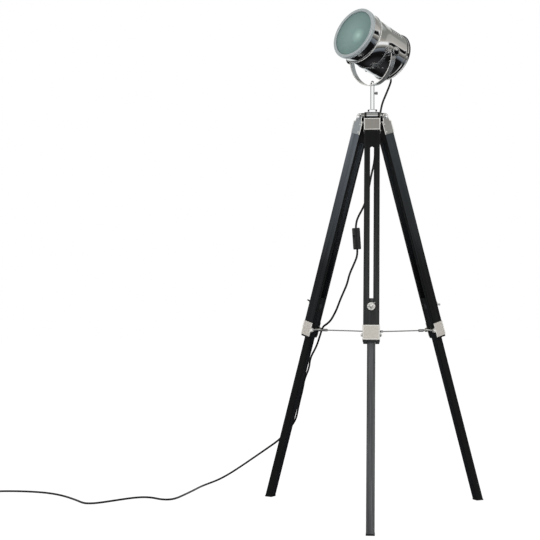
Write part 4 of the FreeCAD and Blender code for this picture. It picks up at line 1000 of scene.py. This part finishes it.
class LAMP_OT_stage(bpy.types.Operator):
    """Pale floor, white surroundings, soft lamps and the camera"""

    bl_idname = "lamp.stage"
    bl_label = "Stage"

    camera_place = (0.0565, -3.7105, 0.6928)     # from the lamp's axis, on the floor
    camera_turn = 5.46
    camera_lens = 85.08
    floor_radius = 9.0
    floor_drop = 0.0005                          # keeps the paper clear of the feet
    aim_height = 0.8

    # what polished metal mirrors, from straight below (0) past eye level (0.5) to above (1)
    room_stops = ((0.0, "303032"), (0.12, "121112"), (0.27, "171516"), (0.29, "585E65"),
                  (0.385, "7D8389"), (0.402, "242426"), (0.42, "66635E"), (0.48, "94928C"),
                  (0.53, "F2F0EC"), (0.555, "FFFFFF"), (0.60, "F6F5F3"), (0.64, "AAA49B"),
                  (0.75, "8B8C88"), (0.90, "84857F"), (1.0, "BCC2C0"))

    def mirrored(self, tree, parts):
        """A dark floor, a pale wall and ceiling, and a dark stretch beside the lamp."""
        x, y, z = (parts.outputs[axis] for axis in "XYZ")
        height = add(tree, "ShaderNodeMapRange", {"Value": z, "From Min": -1.0}).outputs[0]
        room = add(tree, "ShaderNodeValToRGB", {"Fac": height}, self.room_stops).outputs[0]
        # pale panels across the ceiling
        strips = add(tree, "ShaderNodeMath", {0: x, 1: 9.0}, operation="MULTIPLY").outputs[0]
        wave = add(tree, "ShaderNodeMath", {0: strips}, operation="SINE").outputs[0]
        stripes = add(tree, "ShaderNodeMapRange", {"Value": wave, "From Min": 0.2,
                                                   "From Max": 0.7}).outputs[0]
        overhead = add(tree, "ShaderNodeMapRange", {"Value": z, "From Min": 0.15,
                                                    "From Max": 0.3,
                                                    "To Max": 0.35}).outputs[0]
        panels = add(tree, "ShaderNodeMath", {0: stripes, 1: overhead},
                     operation="MULTIPLY").outputs[0]
        front = add(tree, "ShaderNodeMix", {"Factor": panels, "A": room, "B": "D8D5D0"},
                    data_type="RGBA").outputs["Result"]
        # a dark stretch at eye level, to the left and right
        depth = add(tree, "ShaderNodeMapRange", {"Value": y, "From Min": -1.0}).outputs[0]
        beside = add(tree, "ShaderNodeValToRGB", {"Fac": depth},
                     ((0.29, "000000"), (0.37, "FFFFFF"), (0.70, "FFFFFF"),
                      (0.75, "000000"))).outputs[0]
        eye_level = add(tree, "ShaderNodeValToRGB", {"Fac": height},
                        ((0.507, "000000"), (0.520, "FFFFFF"), (0.595, "FFFFFF"),
                         (0.615, "000000"))).outputs[0]
        sideways = add(tree, "ShaderNodeMath", {0: beside, 1: eye_level},
                       operation="MULTIPLY").outputs[0]
        around = add(tree, "ShaderNodeMix", {"Factor": sideways, "A": front, "B": "0E0E10"},
                     data_type="RGBA").outputs["Result"]
        behind = add(tree, "ShaderNodeMapRange", {"Value": y, "From Min": 0.86,
                                                  "From Max": 0.95}).outputs[0]
        return add(tree, "ShaderNodeMix", {"Factor": behind, "A": around, "B": "D9DDDC"},
                   data_type="RGBA").outputs["Result"]

    def world(self):
        """White for the camera and through glass, and a room for what is polished."""
        world = bpy.data.worlds.new("studio")
        bpy.context.scene.world = world
        world.use_nodes = True
        tree = world.node_tree
        tree.nodes.clear()
        path = add(tree, "ShaderNodeLightPath")
        direction = add(tree, "ShaderNodeTexCoord").outputs["Generated"]
        parts = add(tree, "ShaderNodeSeparateXYZ", {"Vector": direction})
        lift = add(tree, "ShaderNodeMapRange",
                   {"Value": parts.outputs["Z"], "From Min": -0.3, "From Max": 0.8,
                    "To Min": 0.34, "To Max": 0.95}).outputs[0]
        surroundings = add(tree, "ShaderNodeBackground", {"Color": "FFFFFF", "Strength": lift})
        mirror = add(tree, "ShaderNodeBackground", {"Color": self.mirrored(tree, parts),
                                                    "Strength": 1.2})
        paper = add(tree, "ShaderNodeBackground", {"Color": "FFFFFF", "Strength": 1.0})
        gloss = add(tree, "ShaderNodeMixShader", {0: path.outputs["Is Glossy Ray"],
                                                  1: surroundings.outputs[0],
                                                  2: mirror.outputs[0]})
        clear = add(tree, "ShaderNodeMath", {0: path.outputs["Is Camera Ray"],
                                             1: path.outputs["Is Transmission Ray"]},
                    operation="MAXIMUM").outputs[0]
        seen = add(tree, "ShaderNodeMixShader", {0: clear, 1: gloss.outputs[0],
                                                 2: paper.outputs[0]})
        add(tree, "ShaderNodeOutputWorld", {"Surface": seen.outputs[0]})

    def white_paper(self):
        """Paper, matt and nearly white: it glows for the camera, and keeps a faint shadow."""
        material, tree = new_material("white_paper")
        fibre_length = 0.004
        path = add(tree, "ShaderNodeLightPath")
        fibre = add(tree, "ShaderNodeTexNoise", {"Vector": object_space(tree),
                                                 "Scale": 1 / fibre_length,
                                                 "Detail": 3.0}).outputs[0]
        tint = add(tree, "ShaderNodeValToRGB", {"Fac": fibre},
                   ((0.2, "F2F2F2"), (0.8, "F8F8F8"))).outputs[0]
        paper = add(tree, "ShaderNodeBsdfDiffuse", {"Color": tint})
        glow = add(tree, "ShaderNodeEmission", {"Color": "FFFFFF", "Strength": 1.05})
        lit = add(tree, "ShaderNodeMath", {0: path.outputs["Is Camera Ray"], 1: 0.93},
                  operation="MULTIPLY").outputs[0]
        blend = add(tree, "ShaderNodeMixShader", {0: lit, 1: paper.outputs[0],
                                                  2: glow.outputs[0]})
        add(tree, "ShaderNodeOutputMaterial", {"Surface": blend.outputs[0]})
        return material

    def floor(self):
        """A wide round of white paper under the lamp."""
        bm = bmesh.new()
        bmesh.ops.create_circle(bm, cap_ends=True, segments=96, radius=self.floor_radius)
        mesh = bpy.data.meshes.new("floor")
        bm.to_mesh(mesh)
        bm.free()
        mesh.materials.append(self.white_paper())
        floor = bpy.data.objects.new("floor", mesh)
        floor.location.z = -self.floor_drop
        floor.visible_glossy = False
        bpy.context.scene.collection.objects.link(floor)

    def lamp(self, name, place, size, power):
        light = bpy.data.lights.new(name, "AREA")
        light.shape = "DISK"
        light.size = size
        light.energy = power
        panel = bpy.data.objects.new(name, light)
        panel.location = place
        aim = Vector((0.0, LAMP_AXIS.y, self.aim_height)) - Vector(place)
        panel.rotation_euler = aim.to_track_quat("-Z", "Y").to_euler()
        panel.visible_glossy = False
        bpy.context.scene.collection.objects.link(panel)

    def camera(self, scene):
        camera = bpy.data.cameras.new("photograph_view")
        camera.lens = self.camera_lens
        camera.sensor_width = 36.0
        viewpoint = bpy.data.objects.new("photograph_view", camera)
        viewpoint.location = Vector(self.camera_place) + Vector((LAMP_AXIS.x, LAMP_AXIS.y, 0))
        viewpoint.rotation_euler = (QUARTER, 0, math.radians(self.camera_turn))
        scene.collection.objects.link(viewpoint)
        scene.camera = viewpoint

    def execute(self, context):
        context.scene.view_settings.view_transform = "Standard"
        self.world()
        self.floor()
        self.lamp("key", (-2.2, -2.6, 2.9), size=1.6, power=62)
        self.lamp("fill", (2.8, -1.8, 1.8), size=1.8, power=22)
        self.lamp("back", (0.8, 2.6, 2.8), size=1.5, power=30)
        self.camera(context.scene)
        return {"FINISHED"}


GROUPS = {"lamp_head": LampHeadSizes, "lamp_yoke": LampYokeSizes, "lamp_lead": LampLeadSizes,
          "lamp_colours": LampColours}
OPERATORS = (LAMP_OT_stage, LAMP_OT_leads, LAMP_OT_head_shell, LAMP_OT_light_source,
             LAMP_OT_saddle, LAMP_OT_knobs, LAMP_OT_yoke_and_stem, LAMP_OT_legs,
             LAMP_OT_hub_and_spreader, LAMP_OT_switch_and_plug)


class LAMP_PT_panel(bpy.types.Panel):
    """Lists the lamp's pieces, sizes and colours"""

    bl_idname = "LAMP_PT_panel"
    bl_label = "Spotlight floor lamp"
    bl_space_type = "VIEW_3D"
    bl_region_type = "UI"
    bl_category = "Lamp"

    def draw(self, context):
        for operator in OPERATORS:
            self.layout.operator(operator.bl_idname)
        for group_name in GROUPS:
            group = getattr(context.scene, group_name)
            box = self.layout.box()
            for name in group.__annotations__:
                box.prop(group, name)


CLASSES = (*GROUPS.values(), *OPERATORS, LAMP_PT_panel)


def register():
    for kind in CLASSES:
        bpy.utils.register_class(kind)
    for name, group in GROUPS.items():
        setattr(bpy.types.Scene, name, bpy.props.PointerProperty(type=group))


def unregister():
    for name in GROUPS:
        delattr(bpy.types.Scene, name)
    for kind in reversed(CLASSES):
        bpy.utils.unregister_class(kind)


def main():
    register()
    make_materials(bpy.context.scene.lamp_colours)
    bpy.ops.lamp.stage()
    bpy.ops.lamp.leads()
    bpy.ops.lamp.head_shell()
    bpy.ops.lamp.light_source()
    bpy.ops.lamp.saddle()
    bpy.ops.lamp.knobs()
    bpy.ops.lamp.yoke_and_stem()
    bpy.ops.lamp.legs()
    bpy.ops.lamp.hub_and_spreader()
    bpy.ops.lamp.switch_and_plug()


if __name__ == "__main__":
    main()
